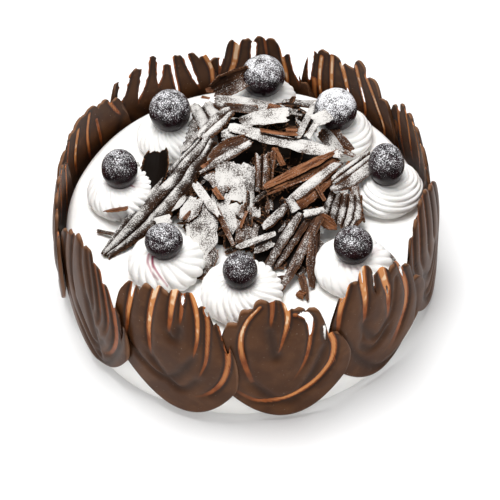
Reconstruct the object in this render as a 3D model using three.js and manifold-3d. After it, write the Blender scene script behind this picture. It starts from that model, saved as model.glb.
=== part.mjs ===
// Black forest cake, 227 mm across and 99 mm tall, standing on its flat base.
//
// Frame: millimetres, +Z up, origin at the centre of the base. Angles are degrees
// counterclockwise from +X seen from above, and -Y is the front of the cake.
//
// A drum of whipped cream carries a ring of eight piped rosettes, each with one dark
// cherry sunk in its tip. A heap of chocolate shavings fills the middle, and eleven
// scalloped chocolate fans stand round the side, each lapping over the next one.

import * as THREE from 'three';
import { mergeVertices } from 'three/addons/utils/BufferGeometryUtils.js';
import Module from 'manifold-3d';

const wasm = await Module();
wasm.setup();

// ---------------------------------------------------------------- driving dimensions

const GAP = 0.35;                // left between two pieces that touch

const CREAM_HEIGHT = 55.5;
const CREAM_BASE_RADIUS = 106.7;
const CREAM_TOP_RADIUS = 104.6;
const CREAM_EDGE_ROUNDING = 6;
const CREAM_SEGMENTS = 48;
const SPATULA_WAVE = 0.35;       // how far the smoothed side swells and sinks

const ROSETTE_HEIGHT = 16.4;     // up to the lip round the cherry
const ROSETTE_LIP = 8.6;         // radius of that lip
const ROSETTE_SEGMENTS = 24;
const RIDGE_DEPTH = 1.1;
const CLEARANCE_SEGMENTS = 14;

const CHERRY_SINK = 0.85;        // centre above the lip, in half heights of the cherry
const CHERRY_SEAT = 15;          // height where every cherry's seat begins

const FAN_COUNT = 11;
const FAN_FIRST_ANGLE = -147;
const FAN_HALF_WIDTH = 36.5;
const FAN_INNER_RADIUS = 107.4;
const FAN_LAP = 4.6;             // how much further out the lapping edge stands
const FAN_THICKNESS = 2.2;
const FAN_EDGE_THICKNESS = 0.9;
const FAN_LEAN_START = 40;       // height where a fan begins to curve in over the cream
const FAN_TALLEST = 100;
const FAN_ROUND_BOTTOM = 26;     // rise of the round bottom edge from its middle to its ends
const FAN_TOP_SHARE = 0.85;      // width at the fingertips over the full width
const FAN_WIDEST_AT = 0.45;      // share of the height where the fan is widest
const FAN_ROWS = [0, 0.14, 0.42, 0.74, 1];
const DEEP_SLIT = 12;            // a slit deeper than this parts its ribs into fingers
const SLIT_HALF_WIDTH = 1.8;     // half the opening of a deep slit at the fingertips

const SHAVING_THICKNESS = 1.6;
const PLEAT_DEPTH = 0.4;         // of half the shaving's width
const TAPER = 1.5;               // how fast a shaving widens from its ends, 1 up to its middle
const NARROW_END = 0.75;         // shavings with ends narrower than this taper towards them
const CORE = { x: 6, y: 3, halfLength: 47, halfWidth: 38, height: 19 };
const CORE_SEGMENTS = 14;
const MERGE_WITHIN = 0.05;       // faces of the fused heap are merged where this is all it moves

// Each cherry: distance from the axis, angle, half sizes along X, Y and Z; then the
// radius of the rosette below it, its number of ridges and how far they twist.
const TOPPINGS = [
  { distance: 71.6, angle: 167.9, cherry: [10.4, 10.9, 12.0], rosette: 20.5, ridges: 8, twist: 70 },
  { distance: 71.7, angle: 124.1, cherry: [12.4, 12.6, 12.9], rosette: 21.0, ridges: 8, twist: 80 },
  { distance: 85.6, angle: 79.0, cherry: [13.2, 13.0, 12.9], rosette: 19.5, ridges: 8, twist: 60 },
  { distance: 77.0, angle: 41.8, cherry: [12.6, 12.8, 12.9], rosette: 21.5, ridges: 6, twist: 150 },
  { distance: 82.6, angle: 3.0, cherry: [10.3, 12.0, 12.5], rosette: 21.0, ridges: 6, twist: 160 },
  { distance: 79.2, angle: -42.4, cherry: [10.9, 10.7, 10.4], rosette: 21.5, ridges: 8, twist: 60 },
  { distance: 66.8, angle: -93.7, cherry: [9.6, 10.0, 10.6], rosette: 22.0, ridges: 8, twist: 90 },
  { distance: 61.5, angle: -137.7, cherry: [10.7, 10.3, 10.1], rosette: 21.0, ridges: 8, twist: 50 },
];

// Each fan, counterclockwise: its ribs as [offset from the middle, height of the fingertip],
// the heights of the slits between neighbouring ribs, the heights of its two sides and its
// bottom, how far the top leans in and how far the bottom swings counterclockwise of the top.
const FANS = [
  { ribs: [[-26, 84], [-15, 92], [-4, 97], [7, 97], [17, 91], [24, 84], [31, 73]],
    slits: [79, 88, 93, 91, 84, 54], sides: [66, 62], bottom: 8, lean: 8, swing: 5 },
  { ribs: [[-21, 92], [-9, 95], [0, 98], [9, 99], [18, 99], [25, 93], [31, 83]],
    slits: [66, 91, 93, 93, 90, 60], sides: [70, 66], bottom: 5, lean: 10, swing: 6 },
  { ribs: [[-27, 84], [-19, 94], [-10, 99], [-1, 98], [9, 91], [18, 88], [29, 66]],
    slits: [83, 93, 97, 90, 87.5, 60], sides: [68, 54], bottom: 3, lean: 5, swing: 0 },
  { ribs: [[-29, 84], [-21, 92], [-13, 98], [-1, 90], [9, 87], [18, 78], [28, 61]],
    slits: [83, 91, 86, 84, 77, 59], sides: [68, 52], bottom: 6, lean: 5, swing: -3 },
  { ribs: [[-28, 82], [-19, 89], [-9, 94], [1, 94], [10, 88], [18, 82], [28, 70]],
    slits: [81, 88, 93, 87, 81, 69], sides: [68, 60], bottom: 3, lean: 8, swing: 0 },
  { ribs: [[-27, 76], [-16, 84], [-5, 89], [5, 91], [15, 89], [26, 78]],
    slits: [68, 79, 84, 84, 72], sides: [62, 66], bottom: 3, lean: 8, swing: 0 },
  { ribs: [[-27, 77], [-16, 88], [-6, 96], [4, 87], [12, 90], [21, 90], [29, 87]],
    slits: [72, 78, 80, 82, 85, 58], sides: [64, 68], bottom: 3, lean: 4, swing: 0 },
  { ribs: [[-28, 60], [-20, 82], [-9, 94], [-1, 95], [7, 93], [16, 90], [25, 76]],
    slits: [54, 68, 90, 80, 70, 70], sides: [50, 62], bottom: 3, lean: 4, swing: 0 },
  { ribs: [[-29, 83], [-20, 86], [-10, 88], [-3, 82], [4, 94], [15, 87], [30, 84]],
    slits: [74, 58, 72, 70, 56, 58], sides: [66, 64], bottom: 3, lean: 3, swing: 0 },
  { ribs: [[-27, 78], [-17, 83], [-6, 87], [5, 87], [16, 82], [26, 72]],
    slits: [76, 81, 85, 83, 75], sides: [66, 60], bottom: 3, lean: 6, swing: 0 },
  { ribs: [[-27, 78], [-16, 86], [-5, 88], [6, 86], [17, 82], [27, 74]],
    slits: [70, 80, 82, 78, 68], sides: [64, 62], bottom: 3, lean: 10, swing: 0 },
];

// Each shaving: its two ends [x, y, height above the cream], its width, and where it needs
// them the roll of its face about its length, the bend of its cross-section (both in
// degrees), the number of pleats and the shares of the width left at its two ends.
const SHAVINGS = [
  { from: [-82, -30, 3], to: [-18, 34, 30], width: 25, roll: -12, bend: 120, pleats: 3,
    ends: [0.3, 0.45] },
  { from: [-24, 33, 28], to: [-4, 52, 32], width: 12, pleats: 2, ends: [0.6, 0.6] },
  { from: [-37, 40, 10], to: [-23, 56, 19], width: 11, roll: -10, ends: [0.6, 1] },
  { from: [-22, 78, 14], to: [-14, 46, 22], width: 19, roll: -8, pleats: 2, ends: [0.8, 0.8] },
  { from: [-15, 83, 17], to: [10, 79, 33], width: 15, roll: 55, bend: -80, ends: [0.6, 0.8] },
  { from: [-14, 72, 21], to: [21, 54, 28], width: 19, roll: 14, bend: 160, ends: [0.6, 0.6] },
  { from: [0, 46, 27], to: [30, 46, 29], width: 11, roll: 6, bend: -30, ends: [0.5, 0.9] },
  { from: [-6, 37, 33], to: [59, 10, 31], width: 10, bend: 50, ends: [0.8, 0.7] },
  { from: [-11, 32, 29], to: [9, 33, 31], width: 11, roll: 25, bend: 30, ends: [0.5, 0.8] },
  { from: [-19, 16, 26], to: [7, 28, 30], width: 13, roll: 24, bend: -120, ends: [0.4, 0.6] },
  { from: [-25, 8, 24], to: [7, 24, 31], width: 5, roll: 30, bend: 60, ends: [0.3, 0.8] },
  { from: [-9, -29, 12], to: [-3, 12, 28], width: 24, roll: 4, bend: 40, ends: [0.1, 1] },
  { from: [-27, -44, 5], to: [-23, -8, 19], width: 19, roll: -12, bend: 30, ends: [0.15, 0.75] },
  { from: [-35, -19, 14], to: [-26, -6, 20], width: 13, roll: -20, ends: [0.5, 0.7] },
  { from: [-28, 4, 22], to: [-14, -22, 19], width: 5, roll: 20, ends: [0.8, 0.4] },
  { from: [3, -13, 21], to: [-1, -35, 8], width: 13, roll: -10, ends: [0.4, 0.9] },
  { from: [9, -28, 14], to: [25, -16, 21], width: 8, bend: 150, ends: [0.8, 0.8] },
  { from: [3, -40, 8], to: [16, -37, 12], width: 5, roll: 10, ends: [0.5, 0.8] },
  { from: [8, -50, 3], to: [31, -23, 20], width: 8, roll: -20, bend: 130, ends: [0.7, 0.7] },
  { from: [14, -49, 2], to: [36, -25, 17], width: 6, bend: 120, ends: [0.5, 0.8] },
  { from: [16, -66, 3], to: [42, -25, 20], width: 8, roll: -14, bend: 130, ends: [0.5, 0.9] },
  { from: [35, -64, 2], to: [39, -34, 15], width: 9, roll: 50, bend: 60, ends: [0.5, 0.8] },
  { from: [11, -8, 26], to: [57, 13, 31], width: 5, roll: 20, ends: [0.7, 0.5] },
  { from: [13, -9, 23], to: [57, 10, 28], width: 6, roll: 25, ends: [0.6, 0.6] },
  { from: [27, -14, 22], to: [56, 9, 27], width: 9, roll: 8, bend: 150, ends: [0.9, 0.8] },
  { from: [30, -17, 18], to: [54, 5, 23], width: 8, roll: 42, ends: [0.7, 0.8] },
  { from: [25, -15, 26], to: [30, -24, 21], width: 6, bend: 90 },
  { from: [32, -25, 21], to: [46, -23, 22], width: 6, bend: 110 },
  { from: [51, -3, 23], to: [75, 15, 26], width: 9, bend: 110, pleats: 2, ends: [0.8, 0.8] },
  { from: [50, -8, 20], to: [76, 8, 24], width: 10, roll: 10, bend: 90, ends: [0.5, 0.8] },
  { from: [58, -9, 19], to: [52, -26, 7], width: 24, roll: 14, pleats: 3, ends: [0.85, 0.75] },
  { from: [63, -3, 19], to: [66, -22, 5], width: 5, bend: 60 },
  { from: [41, -21, 14], to: [52, -26, 7], width: 8, roll: 10, ends: [0.9, 0.2] },
  { from: [33, 24, 31], to: [46, 63, 21], width: 4 },
  { from: [38, 24, 30.5], to: [47, 40, 30.5], width: 4 },
  { from: [42, 37, 31], to: [55, 41, 33], width: 8, roll: 20 },
  { from: [53, 44, 22], to: [65, 26, 15], width: 5, roll: 40, bend: 40 },
  { from: [49, 42, 21], to: [62, 29, 13], width: 15, roll: -6, bend: 40, ends: [0.8, 1] },
  { from: [27, 71, 17], to: [47, 63, 20.5], width: 7, bend: 90 },
  { from: [12, 14, 32], to: [10, -2, 18], width: 9, roll: 20, pleats: 2 },
  { from: [18, 17, 31], to: [15, 2, 16], width: 6, roll: 30 },
  { from: [33, 22, 26], to: [30, 17, 14], width: 9, roll: 16 },
  { from: [-50, 39, 14], to: [-51, 9, 12], width: 19, roll: 14, bend: -110, ends: [0.55, 0.6] },
  { from: [-43, -6, 10], to: [-32, 0, 15], width: 5, roll: 10, ends: [0.6, 0.5] },
  { from: [-52, -16, 11], to: [-41, -15, 13], width: 6, roll: 20 },
  { from: [-18, -35, 9], to: [-22, -45, 3], width: 8, ends: [0.6, 0.8] },
  { from: [-23, -38, 8], to: [-29, -50, 2], width: 10, roll: -10, ends: [0.9, 0.8] },
  { from: [-82, 1, 4], to: [-65, -4, 9], width: 6, roll: 10, ends: [0.2, 0.7] },
  { from: [-20, 15, 20], to: [-56, -4, 10], width: 17, roll: -26 },
  { from: [0, 20, 19], to: [-8, 72, 14], width: 30, roll: 4 },
  { from: [20, 26, 32], to: [28, 68, 13], width: 24 },
  { from: [32, 20, 21], to: [60, 38, 14], width: 22, roll: -10 },
  { from: [12, -22, 20], to: [12, -48, 5], width: 20 },
  { from: [36, -14, 21], to: [30, -54, 5], width: 19 },
];

const BLACK_CHOCOLATE = 0x3a2c24;
const MATERIALS = {
  cream: { color: 0xfaf8f4, roughness: 0.55 },
  cherry: { color: 0x24161c, roughness: 0.25 },
  fan: { color: BLACK_CHOCOLATE, roughness: 0.42 },
  shavings: { color: 0x6b5347, roughness: 0.7 },
};

// ---------------------------------------------------------------- helpers

const radians = THREE.MathUtils.degToRad;
const mix = THREE.MathUtils.lerp;

// Moves every vertex of a closed three.js shape to where `place` puts it and welds the seams.
function reshape(geometry, place) {
  const position = geometry.attributes.position;
  const vertex = new THREE.Vector3();
  for (let i = 0; i < position.count; i += 1) {
    place(vertex.fromBufferAttribute(position, i));
    position.setXYZ(i, vertex.x, vertex.y, vertex.z);
  }
  geometry.deleteAttribute('normal');
  geometry.deleteAttribute('uv');
  return mergeVertices(geometry, 1e-4);
}

// A body of revolution about +Z from [radius, height] pairs that run up the outside.
function turned(profile, segments, place = () => {}) {
  const points = profile.map(([radius, height]) => new THREE.Vector2(radius, height));
  const geometry = new THREE.LatheGeometry(points, segments);
  geometry.rotateX(Math.PI / 2);
  return reshape(geometry, place);
}

// A thin closed sheet on a grid: `place(u, v, face)` gives its points, with u and v from 0 to
// 1 along and across it, and face 0 below and 1 above. Both faces split their cells alike.
function sheet(columns, rows, place) {
  const across = columns + 1;
  const under = across * (rows + 1);
  const positions = [];
  for (const face of [1, 0]) {
    for (let row = 0; row <= rows; row += 1) {
      for (let column = 0; column <= columns; column += 1) {
        positions.push(...place(column / columns, row / rows, face).toArray());
      }
    }
  }
  const triangles = [];
  for (let row = 0; row < rows; row += 1) {
    for (let column = 0; column < columns; column += 1) {
      const a = row * across + column;
      const [b, c, d] = [a + 1, a + across + 1, a + across];
      triangles.push(a, b, c, a, c, d);
      triangles.push(a + under, c + under, b + under, a + under, d + under, c + under);
    }
  }
  const edge = sheetEdge(columns, rows);
  edge.forEach((from, i) => {
    const to = edge[(i + 1) % edge.length];
    triangles.push(from + under, to + under, to, from + under, to, from);
  });
  const geometry = new THREE.BufferGeometry();
  geometry.setAttribute('position', new THREE.Float32BufferAttribute(positions, 3));
  geometry.setIndex(triangles);
  return geometry;
}

// The points round the edge of a sheet's grid, counterclockwise from its first one.
function sheetEdge(columns, rows) {
  const across = columns + 1;
  const last = across * rows;
  return [
    ...Array.from({ length: columns }, (_, i) => i),
    ...Array.from({ length: rows }, (_, i) => columns + i * across),
    ...Array.from({ length: columns }, (_, i) => last + columns - i),
    ...Array.from({ length: rows }, (_, i) => last - i * across),
  ];
}

function toSolid(geometry) {
  return new wasm.Manifold(new wasm.Mesh({
    numProp: 3,
    vertProperties: new Float32Array(geometry.attributes.position.array),
    triVerts: new Uint32Array(geometry.index.array),
  }));
}

function toGeometry(solid) {
  const mesh = solid.getMesh();
  const geometry = new THREE.BufferGeometry();
  geometry.setAttribute('position', new THREE.BufferAttribute(mesh.vertProperties, 3));
  geometry.setIndex(new THREE.BufferAttribute(mesh.triVerts, 1));
  return geometry;
}

function addPiece(group, name, geometry, finish) {
  const piece = new THREE.Mesh(geometry, new THREE.MeshStandardMaterial({ metalness: 0, ...finish }));
  piece.name = name;
  group.add(piece);
}

// ---------------------------------------------------------------- cream drum

function creamProfile() {
  const profile = [[0, 0], [CREAM_BASE_RADIUS - 1.5, 0], [CREAM_BASE_RADIUS, 1.5]];
  const shoulder = CREAM_HEIGHT - CREAM_EDGE_ROUNDING;
  for (const share of [0.5, 1]) {
    profile.push([mix(CREAM_BASE_RADIUS, CREAM_TOP_RADIUS, share), share * shoulder]);
  }
  const centre = CREAM_TOP_RADIUS - CREAM_EDGE_ROUNDING;
  for (const turn of [30, 60, 90]) {
    profile.push([
      centre + CREAM_EDGE_ROUNDING * Math.cos(radians(turn)),
      shoulder + CREAM_EDGE_ROUNDING * Math.sin(radians(turn)),
    ]);
  }
  profile.push([0, CREAM_HEIGHT]);
  return profile;
}

function creamDrum() {
  return turned(creamProfile(), CREAM_SEGMENTS, (vertex) => {
    const radius = Math.hypot(vertex.x, vertex.y);
    if (radius < CREAM_TOP_RADIUS - CREAM_EDGE_ROUNDING - 1) {
      return;
    }
    const angle = Math.atan2(vertex.y, vertex.x);
    const wave = Math.sin(5 * angle + 0.06 * vertex.z) + 0.5 * Math.sin(11 * angle + 1);
    const scale = 1 + (SPATULA_WAVE * (wave - 1.5)) / 1.5 / radius;
    vertex.x *= scale;
    vertex.y *= scale;
  });
}

// ---------------------------------------------------------------- rosettes and cherries

function toppingCentre({ distance, angle, cherry }) {
  return new THREE.Vector3(
    distance * Math.cos(radians(angle)),
    distance * Math.sin(radians(angle)),
    CREAM_HEIGHT + CHERRY_SEAT + CHERRY_SINK * cherry[2],
  );
}

// The outside of a rosette from its foot to the lip, before the ridges.
function rosetteFlank(radius) {
  return [
    [0.87 * radius, 0],
    [radius, 4],
    [0.97 * radius, 8],
    [0.81 * radius, 12],
    [0.6 * radius, 15],
  ];
}

// The seat keeps clear of the cherry by following a ball that is a gap larger.
function rosetteSeat(cherry) {
  const reach = Math.max(cherry[0], cherry[1]) + GAP + 0.15;
  const depth = cherry[2] + GAP + 0.15;
  const centre = CHERRY_SEAT + CHERRY_SINK * cherry[2];
  const below = (radius) => centre - depth * Math.sqrt(1 - (radius / reach) ** 2);
  const lip = Math.min(ROSETTE_HEIGHT, below(ROSETTE_LIP));
  return [[ROSETTE_LIP, lip], [ROSETTE_LIP / 2, below(ROSETTE_LIP / 2) - 0.2], [0, below(0)]];
}

function rosette(topping) {
  const { cherry, rosette: radius, ridges, twist } = topping;
  const profile = [[0, 0], ...rosetteFlank(radius), ...rosetteSeat(cherry)];
  const geometry = turned(profile, ROSETTE_SEGMENTS, (vertex) => {
    const reach = Math.hypot(vertex.x, vertex.y);
    if (reach < ROSETTE_LIP + 0.1) {
      return;
    }
    const angle = Math.atan2(vertex.y, vertex.x);
    const phase = ridges * angle + radians(ridges * twist) * (vertex.z / ROSETTE_HEIGHT);
    const scale = 1 + (RIDGE_DEPTH * Math.cos(phase)) / reach;
    vertex.x *= scale;
    vertex.y *= scale;
  });
  const centre = toppingCentre(topping);
  return geometry.translate(centre.x, centre.y, CREAM_HEIGHT + GAP);
}

function cherryBall(topping, growth = 0) {
  const [x, y, z] = topping.cherry;
  const geometry = reshape(new THREE.SphereGeometry(1, 12, 8), (vertex) => {
    const pit = growth > 0 ? 1 : 1 - 0.12 * Math.max(0, vertex.y) ** 24;
    vertex.set(vertex.x * (x + growth), -vertex.z * (y + growth), vertex.y * pit * (z + growth));
  });
  const centre = toppingCentre(topping);
  return geometry.translate(centre.x, centre.y, centre.z);
}

// The room that a rosette and its cherry take up, a gap larger than both.
function toppingClearance(topping) {
  const growth = RIDGE_DEPTH + 2 * GAP;
  const outside = 1 / Math.cos(Math.PI / CLEARANCE_SEGMENTS);
  const grow = ([radius, height]) => [outside * (radius + growth), height + growth];
  const flank = rosetteFlank(topping.rosette).map(grow);
  const profile = [[0, -1], [flank[0][0], -1], ...flank, [0, ROSETTE_HEIGHT + growth]];
  const centre = toppingCentre(topping);
  const mound = turned(profile, CLEARANCE_SEGMENTS).translate(centre.x, centre.y, CREAM_HEIGHT);
  return toSolid(mound).add(toSolid(cherryBall(topping, 2 * GAP)));
}

// ---------------------------------------------------------------- chocolate fans

// Half the width at a share of the height: widest below the middle, narrower at both ends.
function fanHalfWidth(share) {
  const reach = (1 - FAN_WIDEST_AT) / Math.sqrt(1 - FAN_TOP_SHARE ** 2);
  return FAN_HALF_WIDTH * Math.sqrt(1 - ((share - FAN_WIDEST_AT) / reach) ** 2);
}

// The columns of a fan from edge to edge: side, rib, slit, rib, ... rib, side.
function fanColumns({ ribs, slits, sides }) {
  const topWidth = FAN_HALF_WIDTH * FAN_TOP_SHARE;
  const columns = [{ across: -1, top: sides[0], rib: false }];
  const addSlit = (left, right, top) => {
    const middle = (left[0] + right[0]) / 2;
    const isDeep = Math.min(left[1], right[1]) - top > DEEP_SLIT;
    const shoulder = (rib, offset) => ({ across: offset / topWidth, top: rib[1] - 3, rib: true });
    const slit = { across: middle / topWidth, top, rib: false };
    columns.push(...(isDeep
      ? [shoulder(left, middle - SLIT_HALF_WIDTH), slit, shoulder(right, middle + SLIT_HALF_WIDTH)]
      : [slit]));
  };
  ribs.forEach(([offset, top], i) => {
    columns.push({ across: offset / topWidth, top, rib: true });
    if (i < slits.length) {
      addSlit(ribs[i], ribs[i + 1], slits[i]);
    }
  });
  columns.push({ across: 1.01, top: sides[1], rib: false });
  return columns;
}

// Ribs are full and round, the slits thin out upwards from the smooth palm of the fan.
function fanThickness(column, share, isSide) {
  if (isSide) {
    return FAN_EDGE_THICKNESS;
  }
  if (column.rib) {
    return share > 0.95 ? FAN_EDGE_THICKNESS : FAN_THICKNESS;
  }
  const thinned = THREE.MathUtils.smoothstep(share, 0.1, 0.6);
  return mix(0.85 * FAN_THICKNESS, 0.8 * FAN_EDGE_THICKNESS, thinned);
}

// A point of a fan's sheet bent round the cake: x along the side, z up, depth outwards.
function ontoSide(angle, lean, x, z, depth) {
  const lap = (FAN_LAP * (x + FAN_HALF_WIDTH)) / (2 * FAN_HALF_WIDTH);
  const rise = Math.max(0, z - FAN_LEAN_START) / (FAN_TALLEST - FAN_LEAN_START);
  const radius = FAN_INNER_RADIUS + lap - lean * rise ** 2 + depth;
  const turn = radians(angle) + x / FAN_INNER_RADIUS;
  return new THREE.Vector3(radius * Math.cos(turn), radius * Math.sin(turn), z);
}

function fan(shape, index) {
  const angle = FAN_FIRST_ANGLE + (index * 360) / FAN_COUNT;
  const columns = fanColumns(shape);
  const last = columns.length - 1;
  return sheet(last, FAN_ROWS.length - 1, (u, v, face) => {
    const place = Math.round(u * last);
    const column = columns[place];
    const share = FAN_ROWS[Math.round(v * (FAN_ROWS.length - 1))];
    const bottom = shape.bottom + FAN_ROUND_BOTTOM * column.across ** 2;
    const z = mix(bottom, column.top, share);
    const swing = shape.swing * (1 - (2 * z) / FAN_TALLEST);
    const x = column.across * fanHalfWidth(share) + swing;
    const isSide = place === 0 || place === last;
    return ontoSide(angle, shape.lean, x, z, face * fanThickness(column, share, isSide));
  });
}

// ---------------------------------------------------------------- heap of shavings

// Unit vectors of a shaving: along it, across it, and out of its face.
function shavingFrame(from, to, roll) {
  const along = to.clone().sub(from).normalize();
  const up = new THREE.Vector3(0, 0, 1).addScaledVector(along, -along.z).normalize();
  up.applyAxisAngle(along, radians(roll));
  return { along, up, across: up.clone().cross(along) };
}

function shaving({ from, to, width, roll = 0, bend = 0, pleats = 0, ends = [1, 1] }) {
  const start = new THREE.Vector3(from[0], from[1], from[2] + CREAM_HEIGHT);
  const end = new THREE.Vector3(to[0], to[1], to[2] + CREAM_HEIGHT);
  const { up, across } = shavingFrame(start, end, roll);
  const isBent = Math.abs(bend) > 10;
  const columns = Math.min(...ends) < NARROW_END ? 3 : 1;
  const rows = Math.max(1, isBent ? Math.ceil(Math.abs(bend) / 60) + 1 : 0, 2 * pleats);
  const arc = radians(isBent ? bend : 1);
  return sheet(columns, rows, (u, v, face) => {
    const taper = Math.min(1, TAPER * (1 - Math.abs(2 * u - 1)));
    const half = (width / 2) * mix(ends[u < 0.5 ? 0 : 1], 1, taper);
    const turn = (v - 0.5) * arc;
    const radius = (2 * half) / arc;
    const pleat = pleats > 0 ? 1 - (Math.round(v * 2 * pleats) % 2) : 0;
    const lift = (face - 0.5) * SHAVING_THICKNESS;
    const side = (radius + lift) * Math.sin(turn);
    const height = (radius + lift) * Math.cos(turn) - radius - pleat * PLEAT_DEPTH * half;
    return start.clone().lerp(end, u).addScaledVector(across, side).addScaledVector(up, height);
  });
}

// The low mound that the shavings lie on, hidden by them.
function heapCore() {
  const profile = [[0, 0], [1, 0], [0.94, 0.45], [0.74, 0.8], [0.4, 0.97], [0, 1]];
  return turned(profile, CORE_SEGMENTS, (vertex) => {
    vertex.x = CORE.x + CORE.halfLength * vertex.x;
    vertex.y = CORE.y + CORE.halfWidth * vertex.y;
    vertex.z = CREAM_HEIGHT + CORE.height * vertex.z;
  });
}

function creamClearance() {
  const depth = 30;
  const block = new THREE.BoxGeometry(250, 250, depth);
  block.translate(0, 0, CREAM_HEIGHT + GAP - depth / 2);
  return toSolid(reshape(block, () => {}));
}

function heapOfShavings() {
  let heap = toSolid(heapCore());
  for (const piece of SHAVINGS) {
    heap = heap.add(toSolid(shaving(piece)));
  }
  for (const topping of TOPPINGS) {
    heap = heap.subtract(toppingClearance(topping));
  }
  heap = heap.subtract(creamClearance());
  const parts = heap.decompose().sort((a, b) => b.volume() - a.volume());
  return toGeometry(parts[0].simplify(MERGE_WITHIN));
}

// ---------------------------------------------------------------- the cake

const cake = new THREE.Group();
addPiece(cake, 'cream_drum', creamDrum(), MATERIALS.cream);
TOPPINGS.forEach((topping, i) => {
  addPiece(cake, `rosette_${i + 1}`, rosette(topping), MATERIALS.cream);
  addPiece(cake, `cherry_${i + 1}`, cherryBall(topping), MATERIALS.cherry);
});
FANS.forEach((shape, i) => {
  addPiece(cake, `chocolate_fan_${i + 1}`, fan(shape, i), MATERIALS.fan);
});
addPiece(cake, 'shavings_heap', heapOfShavings(), MATERIALS.shavings);

export default cake;
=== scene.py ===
"""Looks of a black forest cake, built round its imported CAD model.

Lengths are millimetres until a mesh is made. +Z is up, the origin is the centre of the base,
-Y is the front, and angles are degrees counterclockwise from +X seen from above.
"""

import bpy
import numpy as np
from mathutils import Matrix, Vector
from mathutils.bvhtree import BVHTree

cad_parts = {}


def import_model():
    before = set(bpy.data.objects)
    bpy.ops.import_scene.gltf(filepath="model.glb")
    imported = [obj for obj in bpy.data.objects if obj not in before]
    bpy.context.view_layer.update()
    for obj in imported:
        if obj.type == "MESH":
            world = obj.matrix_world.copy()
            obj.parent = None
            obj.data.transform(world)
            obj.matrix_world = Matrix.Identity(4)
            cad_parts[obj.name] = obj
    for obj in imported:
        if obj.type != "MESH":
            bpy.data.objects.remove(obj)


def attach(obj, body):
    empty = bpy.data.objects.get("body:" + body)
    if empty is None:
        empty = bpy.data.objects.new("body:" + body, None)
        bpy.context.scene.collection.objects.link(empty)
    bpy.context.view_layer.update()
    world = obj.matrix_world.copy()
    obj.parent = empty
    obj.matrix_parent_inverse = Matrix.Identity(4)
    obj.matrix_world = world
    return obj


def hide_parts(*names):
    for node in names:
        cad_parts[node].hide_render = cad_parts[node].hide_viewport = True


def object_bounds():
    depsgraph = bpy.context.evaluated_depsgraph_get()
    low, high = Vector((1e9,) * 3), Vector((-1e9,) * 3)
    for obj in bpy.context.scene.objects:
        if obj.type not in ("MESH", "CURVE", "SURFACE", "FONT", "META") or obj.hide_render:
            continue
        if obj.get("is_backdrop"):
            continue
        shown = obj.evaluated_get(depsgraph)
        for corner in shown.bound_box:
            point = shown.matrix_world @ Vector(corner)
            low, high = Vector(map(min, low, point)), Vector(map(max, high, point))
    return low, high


MM = 0.001

# ---- dimensions shared with the CAD

CREAM_HEIGHT = 55.5
CREAM_BASE_RADIUS = 106.7
CREAM_TOP_RADIUS = 104.6
CREAM_EDGE_ROUNDING = 6
SPATULA_WAVE = 0.35
GAP = 0.35

ROSETTE_HEIGHT = 16.4
ROSETTE_LIP = 8.6
CHERRY_SINK = 0.85
CHERRY_SEAT = 15

FAN_COUNT = 11
FAN_FIRST_ANGLE = -147
FAN_HALF_WIDTH = 36.5
FAN_INNER_RADIUS = 107.4
FAN_LAP = 4.6
FAN_THICKNESS = 2.2
FAN_LEAN_START = 40
FAN_TALLEST = 100
FAN_ROUND_BOTTOM = 26
FAN_TOP_SHARE = 0.85
FAN_WIDEST_AT = 0.45

PLEAT_DEPTH = 0.4

# Each cherry: distance, angle and half sizes; its rosette: radius, ridges, twist. `dust` is
# how thickly icing sugar lies on the cherry, `creases` how wrinkled its skin is. The nozzle
# left `starts` fine ridges round the rosette that climb `rise` millimetres apart, `depth` deep.
TOPPING_KEYS = ("distance", "angle", "cherry", "rosette", "ridges", "twist", "dust", "creases",
                "starts", "rise", "depth")
TOPPINGS = [dict(zip(TOPPING_KEYS, row)) for row in [
    (71.6, 167.9, (10.4, 10.9, 12.0), 20.5, 8, 70, 0.5, 0.3, 24, 6.5, 0.6),
    (71.7, 124.1, (12.4, 12.6, 12.9), 21.0, 8, 80, 0.55, 0.9, 26, 6.5, 0.6),
    (85.6, 79.0, (13.2, 13.0, 12.9), 19.5, 8, 60, 0.68, 0.8, 24, 7.0, 0.5),
    (77.0, 41.8, (12.6, 12.8, 12.9), 21.5, 6, 150, 0.92, 0.5, 6, 3.8, 0.42),
    (82.6, 3.0, (10.3, 12.0, 12.5), 21.0, 6, 160, 0.52, 0.1, 7, 3.2, 0.62),
    (79.2, -42.4, (10.9, 10.7, 10.4), 21.5, 8, 60, 0.38, 0.1, 18, 9.0, 0.65),
    (66.8, -93.7, (9.6, 10.0, 10.6), 22.0, 8, 90, 0.45, 0.2, 26, 7.0, 1.0),
    (61.5, -137.7, (10.7, 10.3, 10.1), 21.0, 8, 50, 0.5, 0.2, 18, 10.0, 0.75),
]]

# Cherry juice: the number of the rosette, a path seen from above, the half width of the stain
# and how strong it is.
JUICE = [
    (8, [(-54.5, -44), (-55.2, -49), (-53.2, -55), (-50, -59)], 0.8, 0.75),
    (8, [(-52.4, -46), (-52.4, -51), (-50.6, -55), (-48, -58.5), (-45, -61.5)], 0.8, 1.0),
    (8, [(-53, -46), (-52.5, -49), (-49, -49.5)], 2.2, 0.3),
    (1, [(-65, 9.5), (-62.3, 8.4)], 0.9, 0.95),
    (1, [(-62.5, 9), (-58.5, 11)], 1.8, 0.16),
    (6, [(67, -51.5), (70, -53), (72, -50.5)], 3.6, 0.26),
    (6, [(52, -61), (58, -64), (65, -63)], 1.2, 0.3),
    (7, [(-15, -62), (-19, -66)], 1.2, 0.12),
    (7, [(5.6, -60), (6.6, -66)], 1.2, 0.08),
]

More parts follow.
